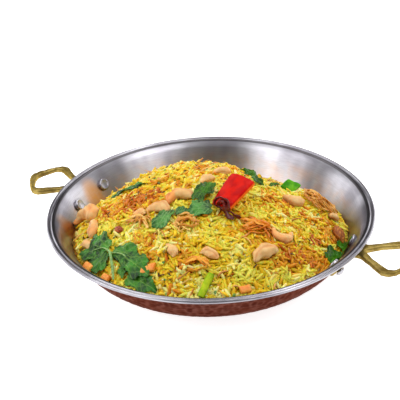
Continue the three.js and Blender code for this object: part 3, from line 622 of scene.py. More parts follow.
# %% the cashews, where they lie
NUT = nut_finish()
CASHEWS = [  # x, y, turn, length, bend, lift, toast, more
    (-96.5, -41, -17, 34, 150, 4, 0.5, {"roll": 66, "split": 0.26}),
    (-77, -67, -66, 24, 90, 3, 0.45, {"roll": 95, "split": 0.2}),
    (-75, -82, -24, 20, 80, 2, 0.3, {"flat": 0.7}),
    (-9, -36, 36, 24, 165, 2.8, 0.1, {"roll": 70, "split": 0.24}),
    (-19, -53.5, 12, 24, 105, 2.6, 0.2, {"roll": 75, "split": 0.14}),
    (-33, -60, 4, 15, 70, 2.6, 0.45, {"flat": 0.8}),
    (2, -6, 62, 18, 80, 2.4, 0.2, {}),
    (5, 15, 40, 18, 70, 2.6, 0.3, {}),
    (67, 21, 33, 23, 90, 3.4, 0.2, {"bulge": -1}),
    (97, 37.5, 50, 15, 70, 2.6, 0.35, {}),
    (79, -29, 30, 19, 170, 2.2, 0.5, {"bulge": -1}),
    (76, -55, 62, 28, 90, 3.2, 0.12, {"roll": 70, "split": 0.12}),
    (39, -80, 8, 20, 70, 2.4, 0.35, {"flat": 0.75, "roll": 85, "split": 0.28}),
    (8, -88, -42, 19, 60, 2, 0.3, {"flat": 0.8}),
]
BROWNED = 4  # this one is browned all along its left half
for number, (x, y, turn, length, bend, lift, toast, more) in enumerate(CASHEWS, 1):
    points, faces, seam = cashew(length, bend=bend, seed=number, **more)
    toast = toast + (number == BROWNED) * np.clip(-points[:, 0] / length * 3, 0, 1)
    piece(f"nut_{number:02}", "cashew", f"cashew_{number:02}", NUT,
          lay(points, x, y, turn, lift), faces, {"seam": seam, "toast": toast})

# %% [markdown]
# ### Leaves
# The coriander leaves are thin lobed blades with scalloped edges. Veins fan out from the stalk's
# end into the lobes, and the blade puckers up between them. Each vertex carries how near a vein it
# is, so that the vein shows paler and stands as a fine ridge.

# %% leaf finish and shape
def leaf_finish(name, dark, light, vein):
    finish = Finish(name, subsurface_weight=0.08, subsurface_scale=0.002,
                    specular_ior_level=0.2, coat_weight=0.08, coat_roughness=0.12)
    cloud = finish.noise(4)
    fine = finish.noise(0.6, 3, 0.6)
    blade = finish.mix((cloud * 0.4 + finish.value("tone") * 0.8).step(0.35, 0.85), dark, light)
    blade = finish.mix(fine.step(0.45, 0.8) * 0.2, blade, light)
    blade = finish.mix(finish.value("vein") * 0.65, blade, vein)
    return finish.dressed(blade, cloud * 0.25 + 0.22, fine + finish.value("vein"), 0.12)


def near_line(points, start, way):
    """How far each flat point is from a line, and how far along the line the closest spot is."""
    along = np.clip((points[:, :2] - start) @ way / (way @ way), 0, 1)
    return np.linalg.norm(points[:, :2] - start - along[:, None] * way, axis=1), along


def leaf(length, slim, lobes=5, deep=0.2, curl=0.12, seed=1, rings=18, around=132):
    tilt, radius = TURN * np.random.default_rng(seed).random(), length / 2
    turn = np.arange(around) * TURN / around
    teeth = 0.5 - 0.5 * np.cos(lobes * (turn - math.pi))
    scallop = 0.5 - 0.5 * np.cos(lobes * 3 * (turn - math.pi))
    layers = [[(0, 0, 0)]]
    for share in np.linspace(0, 1, rings + 1)[1:]:
        edge = 1 - deep * (1 - teeth) * share - 0.1 * scallop * share**4 * (1 - 0.4 * teeth)
        x, y = radius * share * edge * np.cos(turn), radius * share * edge * slim * np.sin(turn)
        wave = 0.06 * radius * np.sin(lobes * turn + tilt) * share
        z = curl * (y * y - 0.35 * x * x) / radius + wave
        layers.append(np.stack([x, y, z], 1))
    top = np.concatenate(layers)
    root, vein = np.array((-radius, 0)), np.zeros(len(top))
    for tip in [*((2 * k + 1) * math.pi / lobes + math.pi for k in range(lobes)), 0.0]:
        way = np.array((math.cos(tip), slim * math.sin(tip))) * radius * 0.95 - root
        away, along = near_line(top, root, way)
        vein = np.maximum(vein, np.exp(-(away / (0.5 - 0.3 * along)) ** 2))
        for share in (0.3, 0.5, 0.7):
            for side in (-1, 1):
                branch = np.array((way[0] - side * way[1], way[1] + side * way[0])) * 0.28
                away, _ = near_line(top, root + way * share, branch)
                vein = np.maximum(vein, 0.6 * np.exp(-(away / 0.26) ** 2))
    top[:, 2] += rumple(top, 2.8, 0.9, seed) - vein * 0.45 + rumple(top, 7, 1.5, seed + 3)
    tone = rumple(top, 9, 0.5, seed + 9) + 0.5
    count, rim = len(top), 1 + (rings - 1) * around
    faces = bands(rings, around, 1, inward=True) + bands(rings, around, count + 1)
    for step in range(around):
        after = (step + 1) % around
        faces += [[0, 1 + step, 1 + after], [count, count + 1 + after, count + 1 + step],
                  [rim + step, rim + step + count, rim + after + count, rim + after]]
    points = np.concatenate([top, top - (0, 0, 0.4)])
    return points, faces, {"vein": np.tile(vein, 2), "tone": np.tile(tone, 2)}


# %% the leaves, where they lie
CORIANDER = leaf_finish("coriander", rgb(3, 44, 6), rgb(60, 132, 30), rgb(120, 168, 64))
DEEP_GREEN = leaf_finish("dark leaf", rgb(4, 34, 0), rgb(44, 108, 0), rgb(96, 146, 24))
MINT = leaf_finish("bluish leaf", rgb(8, 58, 18), rgb(78, 140, 58), rgb(142, 184, 108))
LEAVES = [  # name, finish, way of laying, place, length, slimness, lobes, more
    ("top_dark", DEEP_GREEN, drape, (9, -27, -92, 6.5), 32, 0.55, 6, {}),
    ("top_light", MINT, drape, (15, -47, -150, 4.6), 24, 0.8, 5, {}),
    ("middle", MINT, drape, (-10, -63, -95, 3.8), 26, 0.66, 4, {}),
    ("curled", MINT, drape, (1, -53, 30, 3.8), 12, 0.7, 3, {"curl": 0.5}),
    ("thin", CORIANDER, drape, (-70, -19, 12, 3.8), 34, 0.36, 5, {"deep": 0.12}),
    ("right_upper", DEEP_GREEN, drape, (116, 18, 84, 4.6), 19, 0.66, 5, {}),
    ("right_lower", DEEP_GREEN, drape, (116.5, -4, 84, 4), 25, 0.72, 5, {}),
    ("back", DEEP_GREEN, stand, (32.4, 19.8, 74.6, -150, 42, -14), 28, 0.4, 7,
     {"curl": 0.25, "deep": 0.14}),
    ("back_small", DEEP_GREEN, stand, (44.5, 34, 62, 25, 10, -10), 11, 0.6, 4, {"curl": 0.25}),
]
for seed, (name, finish, way, place, length, slim, lobes, more) in enumerate(LEAVES, 2):
    shape = leaf(length, slim, lobes, seed=seed, **more)
    piece(f"blade_{name}", "herb", f"leaf_{name}", finish, *placed(shape, way, place))

# %% [markdown]
# Strips, stalks and onions all follow a smooth line through a few points. A section is carried
# along the line, and may be flat, twisted and thinner towards its ends.

# %% smooth lines and strips
def smooth_line(route, steps):
    """A line through all the route's points, bending evenly."""
    route = np.asarray(route, float)
    padded = np.concatenate([[2 * route[0] - route[1]], route, [2 * route[-1] - route[-2]]])
    line = []
    for index in range(1, len(padded) - 2):
        a, b, c, d = padded[index - 1:index + 3]
        for t in np.arange(steps) / steps:
            line.append(0.5 * (2 * b + (c - a) * t + (2 * a - 5 * b + 4 * c - d) * t * t
                               + (3 * b - a - 3 * c + d) * t**3))
    return np.array([*line, route[-1]])


def ribbon(line, width, thick, sides=8, twist=0.0, start=0.0, taper=0.5):
    """A flat strip along a line: half as wide at its ends where taper is 0.5."""
    way = np.gradient(line, axis=0)
    way /= np.linalg.norm(way, axis=1)[:, None]
    turn = np.arange(sides) * TURN / sides
    aside = np.cross(way[0], (0, 0, 1.0))
    rings = []
    for index, (spot, ahead) in enumerate(zip(line, way)):
        aside = aside - ahead * (aside @ ahead)
        aside /= np.linalg.norm(aside)
        over = np.cross(ahead, aside)
        share = index / (len(line) - 1)
        roll = start + twist * share
        flat = aside * math.cos(roll) + over * math.sin(roll)
        up = over * math.cos(roll) - aside * math.sin(roll)
        size = 1 - taper * abs(2 * share - 1) ** 3
        rings.append(spot + np.outer(np.cos(turn) * width / 2 * size, flat)
                     + np.outer(np.sin(turn) * thick / 2 * size, up))
    return tube(rings, line[0], line[-1])


def on_heap(route):
    return [(x, y, float(heap_height(x, y)) + lift) for x, y, lift in route]


# %% [markdown]
# The sprig at the left front is a stalk with eight leaflets. It lies over the nuts and the carrots
# there, and its bare tail reaches down to the bowl.

# %% the sprig
def stalk_finish():
    finish = Finish("coriander stalk", subsurface_weight=0.1, subsurface_scale=0.002)
    streak = finish.noise(2.2, 3, 0.6)
    shade = finish.mix(streak.step(0.3, 0.7), rgb(150, 186, 104), rgb(96, 146, 72))
    return finish.dressed(shade, streak * 0.2 + 0.3, streak, 0.15)


STALK = stalk_finish()
SPRIG = [  # place, length, slimness
    ((-61, -91, 172, 4.2), 34, 0.58), ((-56, -86, 148, 6.2), 31, 0.42),
    ((-28, -96, -8, 4), 31, 0.56), ((-13, -105, -18, 5.8), 31, 0.6),
    ((-4, -114, -8, 3.8), 33, 0.44), ((-48, -103, -102, 5.2), 22, 0.76),
    ((-57, -97, -118, 3.4), 17, 0.7), ((-24, -106, -70, 3.2), 16, 0.62),
]
leaflets = [placed(leaf(length, slim, seed=seed), drape, place)
            for seed, (place, length, slim) in enumerate(SPRIG, 11)]
piece("sprig_leaflets", "herb", "sprig", CORIANDER, *joined(leaflets))
stem = on_heap([(-62, -92, 5), (-50, -93, 6.4), (-41, -97, 6), (-28, -98, 4.4), (-10, -108, 4.4)])
tail = on_heap([(-50, -93, 6.4), (-42, -97, 7), (-36, -104, 7), (-31, -111, 5.6),
                (-28, -115.5, 4.4)])
stalks = [ribbon(smooth_line(stem, 14), 1.3, 1.2, 12), ribbon(smooth_line(tail, 14), 2.3, 2.1, 12)]
piece("sprig_stalk", "herb", "sprig", STALK, *joined(stalks))

# %% [markdown]
# ### Fried onions
# Sliced onion fries into limp ribbons, thin enough to let light through, with darker, crisp edges.
# Each tangle is a few long ribbons that cross, with shorter and thinner ones worked in between.

# %% onion finish and shape
def onion_finish(name, pale, golden, burnt, shift=0.0):
    finish = Finish(name, subsurface_weight=0.15, subsurface_scale=0.002,
                    specular_ior_level=0.35, coat_weight=0.08, coat_roughness=0.2)
    streak = finish.noise(1.6, 4, 0.65)
    cloud = finish.noise(6, 3, 0.6) + finish.value("tone") * 0.5 + shift
    shade = finish.mix(cloud.step(0.45, 0.85), pale, golden)
    shade = finish.mix((cloud * 0.6 + streak * 0.8).step(0.85, 1.25), shade, burnt)
    return finish.dressed(shade, streak * 0.25 + 0.2, streak, 0.2)


FRIED = onion_finish("fried onion", rgb(238, 190, 100), rgb(212, 142, 44), rgb(140, 74, 18), -0.04)
AMBER = onion_finish("soft onion", rgb(240, 172, 50), rgb(224, 128, 16), rgb(176, 84, 8))
DARK = onion_finish("dark onion", rgb(156, 40, 24), rgb(108, 24, 16), rgb(56, 12, 10), 0.1)
TANGLES = {  # x, y, turn, reach, spread, lift, count, seed
    "back": (84, 43, 4, 17, 15, 4.8, 22, 22),
    "right": (61.5, -37, 36, 14, 9, 2.6, 11, 23),
    "left": (10, -62, 20, 11, 8, 2.6, 9, 24),
    "front": (35, -90, 16, 10, 7, 3.3, 6, 25),
    "west": (-30, -68, -10, 12, 8, 2.8, 9, 26),
}


def dice(seed):
    """The model's own repeatable run of numbers from 0 to 1."""
    while True:
        seed = (seed * 1664525 + 1013904223) % 4294967296
        yield seed / 4294967296


def tangle_routes(x, y, turn, reach, spread, lift, count, seed):
    """Three long strips from the model's own numbers, and then finer ones between them."""
    roll, rng, routes = dice(seed * 4099), np.random.default_rng(seed), []
    for index in range(count):
        if index < 3:
            heading = math.radians(turn + (next(roll) - 0.5) * 50)
            side, bow = (index / 2 - 0.5) * spread, (next(roll) - 0.5) * spread
            shares, draw = (-1, -0.35, 0.35, 1), lambda: next(roll)
        else:
            heading = math.radians(turn + rng.normal(0, 38))
            side, bow = rng.uniform(-0.55, 0.55) * spread, rng.normal(0, 0.45) * spread
            shares, draw = (-0.9, -0.6, -0.25, 0.1, 0.45, 0.8), rng.random
        route = []
        for share in shares:
            along = share * reach * (0.8 + 0.3 * draw())
            aside = side * (1 - abs(share) * 0.6) + bow * (1 - share * share)
            rise = lift + 1.2 * draw() + (1 - share * share)
            route.append((x + along * math.cos(heading) - aside * math.sin(heading),
                          y + along * math.sin(heading) + aside * math.cos(heading),
                          rise - (0.0 if index < 3 else rng.uniform(0, 1.8))))
        routes.append(on_heap(route))
    return routes


def onion_pile(name, routes, finish, seed, bold=1.0):
    rng, parts = np.random.default_rng(seed), []
    for index, route in enumerate(routes):
        line = smooth_line(route, 12)
        line = line + np.stack([rumple(line, 5, 1.6, seed + index + k) for k in (0, 40, 80)], 1)
        width = rng.uniform(2.6, 3.4) if index < 3 else rng.uniform(1.0, 2.4)
        strip = ribbon(line, width * bold, rng.uniform(0.7, 1.1) * bold, 10, rng.normal(0, 1.4),
                       rng.normal(0, 0.4))
        parts.append((*strip, {"tone": rng.random()}))
    piece(f"onions_{name}", "fried_onion", f"onion_{name}", finish, *joined(parts))


# %% the onions, where they lie
for name, tangle in TANGLES.items():
    finish = FRIED if name in ("back", "left", "west") else AMBER
    onion_pile(name, tangle_routes(*tangle), finish, tangle[-1])
DARK_ROUTES = [
    [(30, -39, 74.5), (25.5, -40, 77), (27.5, -40, 82), (33, -39.5, 84), (38, -41, 81),
     (38.5, -42, 77), (34, -42, 74.5)],
    [(29, -39, 75), (39, -40, 72.5), (49, -41, 69.5)],
    [(26, -38, 75), (36, -42, 73), (44.5, -46, 70)],
    [(27, -40.5, 76), (29, -41, 80.5), (33.5, -41, 81.5), (36, -42, 78), (33, -42.5, 75)],
    [(27.5, -39.5, 75), (29.5, -40.2, 79), (32.5, -40.6, 80), (34.5, -41, 77.5), (33, -41.5, 74.5)],
    [(29, -38.5, 76), (33, -37.8, 80), (36.5, -38.5, 79), (37, -40, 75)],
]
onion_pile("dark", DARK_ROUTES, DARK, 21, 1.7)

# %% [markdown]
# ### Peppers, chilli and carrot
# Each is a cut slab with its skin outward. The knife leaves slightly uneven edges, and the flesh
# at the cut is paler and duller than the waxy skin, so each vertex carries how far into the flesh
# it is.

# %% slabs
def slab(length, width, thickness, bow, skew=0.0, edge=0.8, uneven=0.4, taper=0.0, seed=0):
    columns, rows = 34, 26
    grid = np.stack(np.meshgrid(np.linspace(-1, 1, columns + 1), np.linspace(-1, 1, rows + 1),
                                indexing="ij"), -1).reshape(-1, 2)
    at = lambda column, row: column * (rows + 1) + row
    rim = [at(c, 0) for c in range(columns)] + [at(columns, r) for r in range(rows)]
    rim += [at(c, rows) for c in range(columns, 0, -1)] + [at(0, r) for r in range(rows, 0, -1)]
    parts, flesh, loops, start = [], [], [], 0
    for level, angle in enumerate(np.linspace(math.pi / 2, -math.pi / 2, 9)):
        whole, up = level in (0, 8), math.sin(angle)
        uv, inset = grid if whole else grid[rim], edge * (1 - math.cos(angle))
        along, across = uv[:, 0] * (length / 2 - inset), uv[:, 1] * (width / 2 - inset)
        corner = 1 - 0.06 * np.abs(uv[:, 0]) ** 6 * np.abs(uv[:, 1]) ** 6
        height = bow * (1 - (2 * across / width) ** 2) + thickness / 2 * (1 + up)
        along, across = along * corner, across * corner * (1 + 2 * taper * along / length)
        parts.append(np.stack([along + skew * across, across, height], 1))
        flesh.append(np.full(len(uv), (1 - up) / 2))
        loops.append([start + (k if whole else i) for i, k in enumerate(rim)])
        start += len(uv)
    points, faces, last = np.concatenate(parts), [], start - len(grid)
    for c in range(columns):
        for r in range(rows):
            quad = [at(c, r), at(c + 1, r), at(c + 1, r + 1), at(c, r + 1)]
            faces += [quad, [last + corner for corner in quad[::-1]]]
    for upper, lower in zip(loops, loops[1:]):
        for i in range(len(rim)):
            j = (i + 1) % len(rim)
            faces.append([upper[i], lower[i], lower[j], upper[j]])
    side = np.maximum(np.abs(points[:, 0]) / (length / 2), np.abs(points[:, 1]) / (width / 2))
    wobble = rumple(points * (1, 1, 0.2), 4.5, uneven, seed) * np.clip(side, 0, 1) ** 2
    points = swollen(points, faces, wobble + rumple(points, 9, uneven * 0.8, seed + 1))
    return points, faces, {"flesh": np.concatenate(flesh)}


def pepper_finish(name, skin, deep, flesh):
    finish = Finish(name, specular_ior_level=0.08)
    cloud = finish.noise(8, 3, 0.5)
    fine = finish.noise(1.2, 3, 0.6)
    cut = finish.value("flesh").step(0.12, 0.45)
    shade = finish.mix(cut, finish.mix(cloud.step(0.35, 0.7), skin, deep), flesh)
    rough = cut * 0.3 + cloud * 0.1 + 0.3
    return finish.dressed(shade, rough, fine * cut + cloud * 0.8, 0.25)


def carrot_finish():
    finish = Finish("cooked carrot", subsurface_weight=0.12, subsurface_scale=0.002)
    grain = finish.noise(1.0, 4, 0.65)
    cloud = finish.noise(5, 3, 0.5)
    shade = finish.mix(cloud.step(0.3, 0.7), rgb(248, 168, 60), rgb(236, 132, 34))
    shade = finish.mix(grain.step(0.5, 0.8) * 0.4, shade, rgb(250, 178, 78))
    return finish.dressed(shade, grain * 0.25 + 0.3, grain, 0.25)


RED = pepper_finish("red pepper", rgb(208, 20, 0), rgb(176, 0, 0), rgb(232, 104, 16))
GREEN = pepper_finish("green pepper", rgb(112, 186, 34), rgb(28, 118, 10), rgb(206, 228, 136))
LIME = pepper_finish("green chilli", rgb(186, 204, 34), rgb(120, 166, 20), rgb(92, 144, 28))
CARROT = carrot_finish()

# %% the slabs, where they lie
LAID = [  # name, node, finish, way of laying, place, size
    ("red_pepper", "pepper_red", RED, stand, (33, -22, 78.5, 77, 23, -13),
     (34, 26.5, 3.6, 1.6, 0.15, 0.6, 0.3, 0.18)),
    ("green_pepper", "pepper_green", GREEN, stand, (54.5, 46, 55.4, 8, -22, 30),
     (13, 11, 3, 1.2, 0.3, 0.7)),
    ("green_chilli", "chilli_green", LIME, lay, (46, -99, -88, 1.4), (21, 6, 2.4, 1.4)),
    ("carrot_bit_01", "carrot_01", CARROT, lay, (-58, -102.4, -25, 0.1), (11, 7, 4, 0.8)),
    ("carrot_bit_02", "carrot_02", CARROT, lay, (-36.4, -111.6, -20, 0), (8, 6, 3.5, 0.5)),
    ("carrot_bit_03", "carrot_03", CARROT, lay, (-2, -103, 30, 0.2), (12, 7.4, 3.5, 0.8, 0.4)),
    ("carrot_bit_04", "carrot_04", CARROT, lay, (73, -86, 46, 0.8), (9, 6, 3, 0.5)),
]
for seed, (name, node, finish, way, place, size) in enumerate(LAID, 40):
    slot = "carrot" if finish is CARROT else name
    piece(name, slot, node, finish, *placed(slab(*size, seed=seed), way, place))

# %% [markdown]
# ### Almond and raisin
# Both are egg-shaped, with a skin that wrinkles along its length.

# %% kernels
def spindle(length, shares, sides, outline):
    """A closed form along X; outline gives a ring's Y and Z at a share of the length."""
    turn = np.arange(sides) * TURN / sides
    rings = [np.stack([np.full(sides, (share - 0.5) * length), *outline(share, turn)], 1)
             for share in shares]
    return tube(rings, (-length / 2, 0, 0), (length / 2, 0, 0))


def kernel(length, width, height, wrinkle, seed):
    def outline(share, turn):
        plump = math.sin(math.pi * share**0.85) ** 0.7 / 2
        return width * plump * np.cos(turn), height * plump * np.sin(turn)

    shares = 0.5 - 0.5 * np.cos(np.linspace(0.12, math.pi - 0.1, 40))
    points, faces = spindle(length, shares, 40, outline)
    crease = np.abs(rumple(points * (0.35, 1, 1), 1.5, 1, seed)) ** 0.6 * wrinkle
    return swollen(points, faces, crease - wrinkle * 0.5), faces, {"crease": crease / wrinkle}


def skin_finish(name, ridge, crease_shade, coat):
    finish = Finish(name, coat_weight=coat, coat_roughness=0.25, specular_ior_level=0.3)
    fine = finish.noise(0.9, 4, 0.65)
    folds = finish.value("crease") + (fine - 0.5) * 0.5
    # The skin's colour goes darker down in its creases: painted shade.
    shade = finish.mix(folds.step(0.2, 0.9), crease_shade, ridge)
    return finish.dressed(shade, fine * 0.3 + 0.3, fine, 0.2)


ALMOND = skin_finish("almond skin", rgb(212, 132, 40), rgb(140, 70, 16), 0.05)
RAISIN = skin_finish("raisin skin", rgb(210, 104, 40), rgb(128, 46, 14), 0.1)
piece("almond_kernel", "almond", "almond", ALMOND,
      *placed(kernel(18, 12, 8, 0.9, 51), lay, (106, 25, -36, 3)))
piece("raisin_plump", "raisin", "raisin_01", RAISIN,
      *placed(kernel(10, 6, 4.4, 0.8, 52), lay, (-46, -73, -12, 1.6)))

# %% [markdown]
# ## The grains of rice
# Cooked basmati is long, thin and slightly bent, and tapers at both ends. The grains lie along the
# heap's slope in three layers, in loose clumps that share a direction, and the topmost stick up
# more. Each grain is a small closed mesh. A grain that would pierce a topping is pushed under it,
# or left out. Saffron is stirred in unevenly, so whole patches are yellow or orange and others
# nearly white, and the grains are sorted into one piece for each colour.

# %% what the grains have to keep clear of
BARE = ("steel_bowl", "copper_sleeve", "rice_core", "brass_grip_right", "brass_grip_left")
toppings = joined([copied(obj.data) for name, obj in pieces.items() if name not in BARE])
TOPPINGS = BVHTree.FromPolygons(toppings[0].tolist(), toppings[1])


def topping_within(spot, reach):
    return TOPPINGS.find_nearest(Vector(spot), reach)[0] is not None


# %% the grains' places
COUNT = 12000
HALF_GRAIN, PUSH, OVER_BOWL = 0.95, 0.9, 0.8  # room round a grain, each push down, room over steel
PATCHES = {  # how much there is of a colour, and places with more of it: (x, y, spread, strength)
    "white": (1.0, [(20, -100, 20, 1.4), (60, -95, 24, 1.6), (100, -50, 18, 1.2), (0, -75, 12, 1.2),
                    (50, 20, 16, 1.0), (-60, -30, 14, 1.0)]),
    "lime": (1.5, [(56, 5, 22, 1.8), (40, 30, 22, 1.4), (-45, -70, 22, 1.2), (60, -80, 26, 1.4),
                   (-75, -75, 18, 1.0), (40, -20, 22, 1.2), (95, -60, 20, 1.2)]),
    "yellow": (1.55, [(50, -64, 26, 1.0), (20, -80, 20, 0.8), (75, -75, 22, 1.2),
                      (-10, -100, 18, 0.8), (95, 5, 18, 1.0), (25, -50, 14, 0.8)]),
    "amber": (0.3, [(8, 40, 14, 2.5), (-48, -12, 18, 3.0), (-20, 15, 24, 1.8), (18, -92, 13, 4.0),
                    (62, 6, 13, 4.0), (98, 8, 16, 4.0), (107, -16, 13, 3.0), (-68, -47, 15, 3.0),
                    (55, -38, 15, 3.0), (88, -42, 15, 4.0), (-15, -85, 14, 2.0), (0, -30, 16, 1.2),
                    (-45, -40, 20, 3.0)]),
    "saffron": (0.04, [(-45, -40, 14, 9.0), (-68, -47, 11, 4.0), (62, 9, 8, 2.0),
                       (89, -42, 10, 4.0), (100, 5, 11, 2.0), (-46, -10, 10, 2.2),
                       (18, -92, 9, 2.0), (107, -18, 9, 1.5)]),
}


def grain_kinds(x, y, rng):
    """The number of each grain's colour in PATCHES."""
    weights = []
    for index, (weight, patches) in enumerate(PATCHES.values()):
        weight = np.full(len(x), weight)
        for px, py, spread, strength in patches:
            weight = weight + strength * np.exp(-((x - px) ** 2 + (y - py) ** 2) / spread**2)
        weights.append((weight * np.exp(2.2 * patchy(x, y, 13, 1, 60 + 7 * index))) ** 2.6)
    share = np.cumsum(weights, 0) / np.sum(weights, 0)
    return (rng.random(len(x)) > share).sum(0)


def strewn(count, rng, spread=1.0):
    """Places strewn evenly over the heap, and how far out each is, from 0 to 1."""
    angle, away = TURN * rng.random(count), np.sqrt(rng.random(count)) * spread
    reach = heap_edge(angle) * away
    return reach * np.cos(angle), reach * np.sin(angle), away


# The three layers: their shares of the grains, their heights and how far their grains tip.
LAYERS, HEIGHTS, TIPS = (0.28, 0.4, 0.32), np.array((-1.3, -0.2, 0.8)), np.radians((6, 10, 17))


def grain_places(count, rng):
    """Each grain's middle, its three directions and its length."""
    x, y, away = strewn(count, rng)
    layer = rng.choice(len(LAYERS), count, p=LAYERS)
    lift = HEIGHTS[layer] + rng.normal(0, 0.3, count)
    yaw = patchy(x, y, 16, 1.0, 71) * TURN + rng.normal(0, 0.9, count)
    pitch = rng.normal(0, 1, count) * TIPS[layer]
    up = heap_up(x, y)
    east = np.cross((0, 1.0, 0), up)
    east /= np.linalg.norm(east, axis=1)[:, None]
    level = east * np.cos(yaw)[:, None] + np.cross(up, east) * np.sin(yaw)[:, None]
    along = level * np.cos(pitch)[:, None] + up * np.sin(pitch)[:, None]
    aside = np.cross(up, along)
    aside /= np.linalg.norm(aside, axis=1)[:, None]
    length = np.clip(rng.normal(10.6, 1.5, count), 6, 13.5)
    lift = lift + clumps(x, y) * (1 - away**8)
    middle = np.stack([x, y, heap_height(x, y)], 1) + up * lift[:, None]
    return middle, along, aside, np.cross(along, aside), length


def blocked(spot):
    """Whether a spot of a grain touches a topping or lies inside one."""
    if topping_within(spot, HALF_GRAIN):
        return True
    hit, normal, _, _ = TOPPINGS.ray_cast(Vector(spot), Vector((0, 0, 1)))
    return hit is not None and normal.z > 0


def settled(middle, along, up, length):
    """Pushes grains under the toppings that they would pierce, and drops those that still do.

    A grain that would go through the bowl is dropped as well.
    """
    keep = np.ones(len(middle), bool)
    for index in range(len(middle)):
        def spots(*shares):
            return [middle[index] + along[index] * share * length[index] for share in shares]

        for _ in range(4):
            clear = not any(blocked(spot) for spot in spots(-0.45, -0.22, 0, 0.22, 0.45))
            if clear:
                break
            middle[index] -= up[index] * PUSH
        keep[index] = clear and all(end[2] > bowl_height(math.hypot(end[0], end[1])) + OVER_BOWL
                                    for end in spots(-0.48, 0, 0.48))
    return keep


# %% the grains' meshes
def grain_meshes(middle, along, aside, over, length, rng):
    """Bent grains, each with four oval rings of six points and a tip at both ends."""
    shares, girth = np.array((0.06, 0.32, 0.68, 0.94)), np.array((0.52, 0.97, 0.99, 0.57)) / 2
    count, sides = len(middle), 6
    width = rng.uniform(2.4, 3.15, count)
    bend = rng.normal(0, 0.45, count)
    rings = np.zeros((count, len(shares), sides, 3))
    for s, share in enumerate(shares):
        bow = bend * (4 * share * (1 - share) - 0.5)
        centre = middle + along * ((share - 0.5) * length)[:, None] + aside * bow[:, None]
        for side in range(sides):
            turn = side * TURN / sides
            out = aside * (width * girth[s] * math.cos(turn))[:, None]
            lift = over * (width * girth[s] * 0.86 * math.sin(turn))[:, None]
            rings[:, s, side] = centre + out + lift
    tips = [middle + along * (0.5 * sign * length)[:, None] - aside * (bend * 0.5)[:, None]
            for sign in (-1, 1)]
    points = np.concatenate([tips[0][:, None], rings.reshape(count, -1, 3), tips[1][:, None]], 1)
    each, one = len(points[0]), tube(rings[0], tips[0][0], tips[1][0])[1]
    faces = [[start + corner for corner in face]
             for start in range(0, count * each, each) for face in one]
    tone = np.repeat(rng.random(count), each)
    reach = np.tile([0, *np.repeat(shares, sides), 1], count)
    return points.reshape(-1, 3), faces, {"tone": tone, "reach": reach}


def rice_finish(kind, pale, full, deep):
    finish = Finish(f"rice {kind}", subsurface_weight=0.35, subsurface_scale=0.003,
                    specular_ior_level=0.22)
    tone = finish.value("tone")
    streak = finish.noise(2.4, 3, 0.6)
    patch = finish.noise(12, 3, 0.55)
    tip = (finish.value("reach") - 0.5) * 2
    tip = (tip * tip).step(0.55, 1.0)
    shade = finish.mix((tone * 0.35 + patch * 0.7 + streak * 0.3).step(0.4, 0.95), pale, full)
    shade = finish.mix((finish.noise(6, 3, 0.6) * 0.9 + tone * 0.2).step(0.55, 0.9), shade, deep)
    shade = finish.mix(tip * 0.4, shade, pale)
    return finish.dressed(shade, streak * 0.25 + 0.25, streak, 0.1)


RICE = {  # pale, full and deep
    "white": (rgb(246, 232, 150), rgb(236, 214, 90), rgb(222, 188, 46)),
    "lime": (rgb(234, 218, 84), rgb(222, 196, 36), rgb(208, 168, 18)),
    "yellow": (rgb(238, 202, 38), rgb(226, 178, 14), rgb(212, 146, 6)),
    "amber": (rgb(228, 164, 26), rgb(212, 132, 10), rgb(182, 92, 4)),
    "saffron": (rgb(206, 122, 18), rgb(184, 90, 8), rgb(150, 60, 4)),
}
rng = np.random.default_rng(3)
grains = grain_places(COUNT, rng)
middle, along, _, _, length = grains
keep = settled(middle, along, heap_up(middle[:, 0], middle[:, 1]), length)
grains = [each[keep] for each in grains]
sort = grain_kinds(*grains[0][:, :2].T, rng)
for index, (kind, colours) in enumerate(RICE.items()):
    points, faces, values = grain_meshes(*(each[sort == index] for each in grains), rng)
    piece(f"grains_{kind}", "rice", "rice", rice_finish(kind, *colours), points, faces, values)
    print(kind, int((sort == index).sum()), "grains,", triangles(faces), "triangles")

# %% [markdown]
# ## Spices and crumbs
# Whole cumin seeds, near-black crumbs, chopped coriander and thin threads of fried onion are caught
# between the grains all over the heap. The crumbs are partly spice and partly painted shade: dark
# specks that stand for the shaded gaps between the grains.

# %% scattered bits
def seed_shape(length, width):
    def outline(share, turn):
        ridge = width / 2 * math.sin(math.pi * share) ** 0.6 * (1 + 0.12 * np.cos(4 * turn))
        return ridge * np.cos(turn), ridge * np.sin(turn) + 0.3 * math.sin(math.pi * share)

    return spindle(length, (0.06, 0.25, 0.5, 0.75, 0.94), 8, outline)


def fleck_shape(size, rng):
    around = 9
    turn = np.arange(around) * TURN / around
    reach = size / 2 * rng.uniform(0.55, 1.15, around)
    bend = rng.normal(0, 0.25)
    rim = np.stack([reach * np.cos(turn), reach * np.sin(turn) * 0.7,
                    bend * np.cos(2 * turn) * size * 0.3], 1)
    points = np.concatenate([[(0, 0, 0.1)], rim, [(0, 0, -0.2)], rim - (0, 0, 0.3)])
    faces = []
    for i in range(around):
        j = (i + 1) % around
        faces += [[0, 1 + i, 1 + j], [around + 1, around + 2 + j, around + 2 + i],
                  [1 + i, around + 2 + i, around + 2 + j, 1 + j]]
    return points, faces


def plain_finish(name, low, high, size, roughness):
    finish = Finish(name)
    cloud = finish.noise(size)
    shade = finish.mix(cloud.step(0.3, 0.7), low, high)
    return finish.dressed(shade, cloud * 0.25 + roughness, cloud, 0.15)


CUMIN = plain_finish("cumin", rgb(52, 34, 18), rgb(104, 70, 34), 2.0, 0.4)
# Near-black crumbs: partly spice, partly painted shade for the dark gaps between grains.
CRUMBS_AND_SHADE = plain_finish("crumbs and gap shade", rgb(26, 20, 16), rgb(60, 38, 22), 1.5, 0.4)
CHOPPED = plain_finish("chopped coriander", rgb(58, 104, 30), rgb(116, 160, 58), 3.0, 0.35)
THREAD = onion_finish("onion threads", rgb(240, 190, 100), rgb(214, 144, 60), rgb(150, 82, 30))


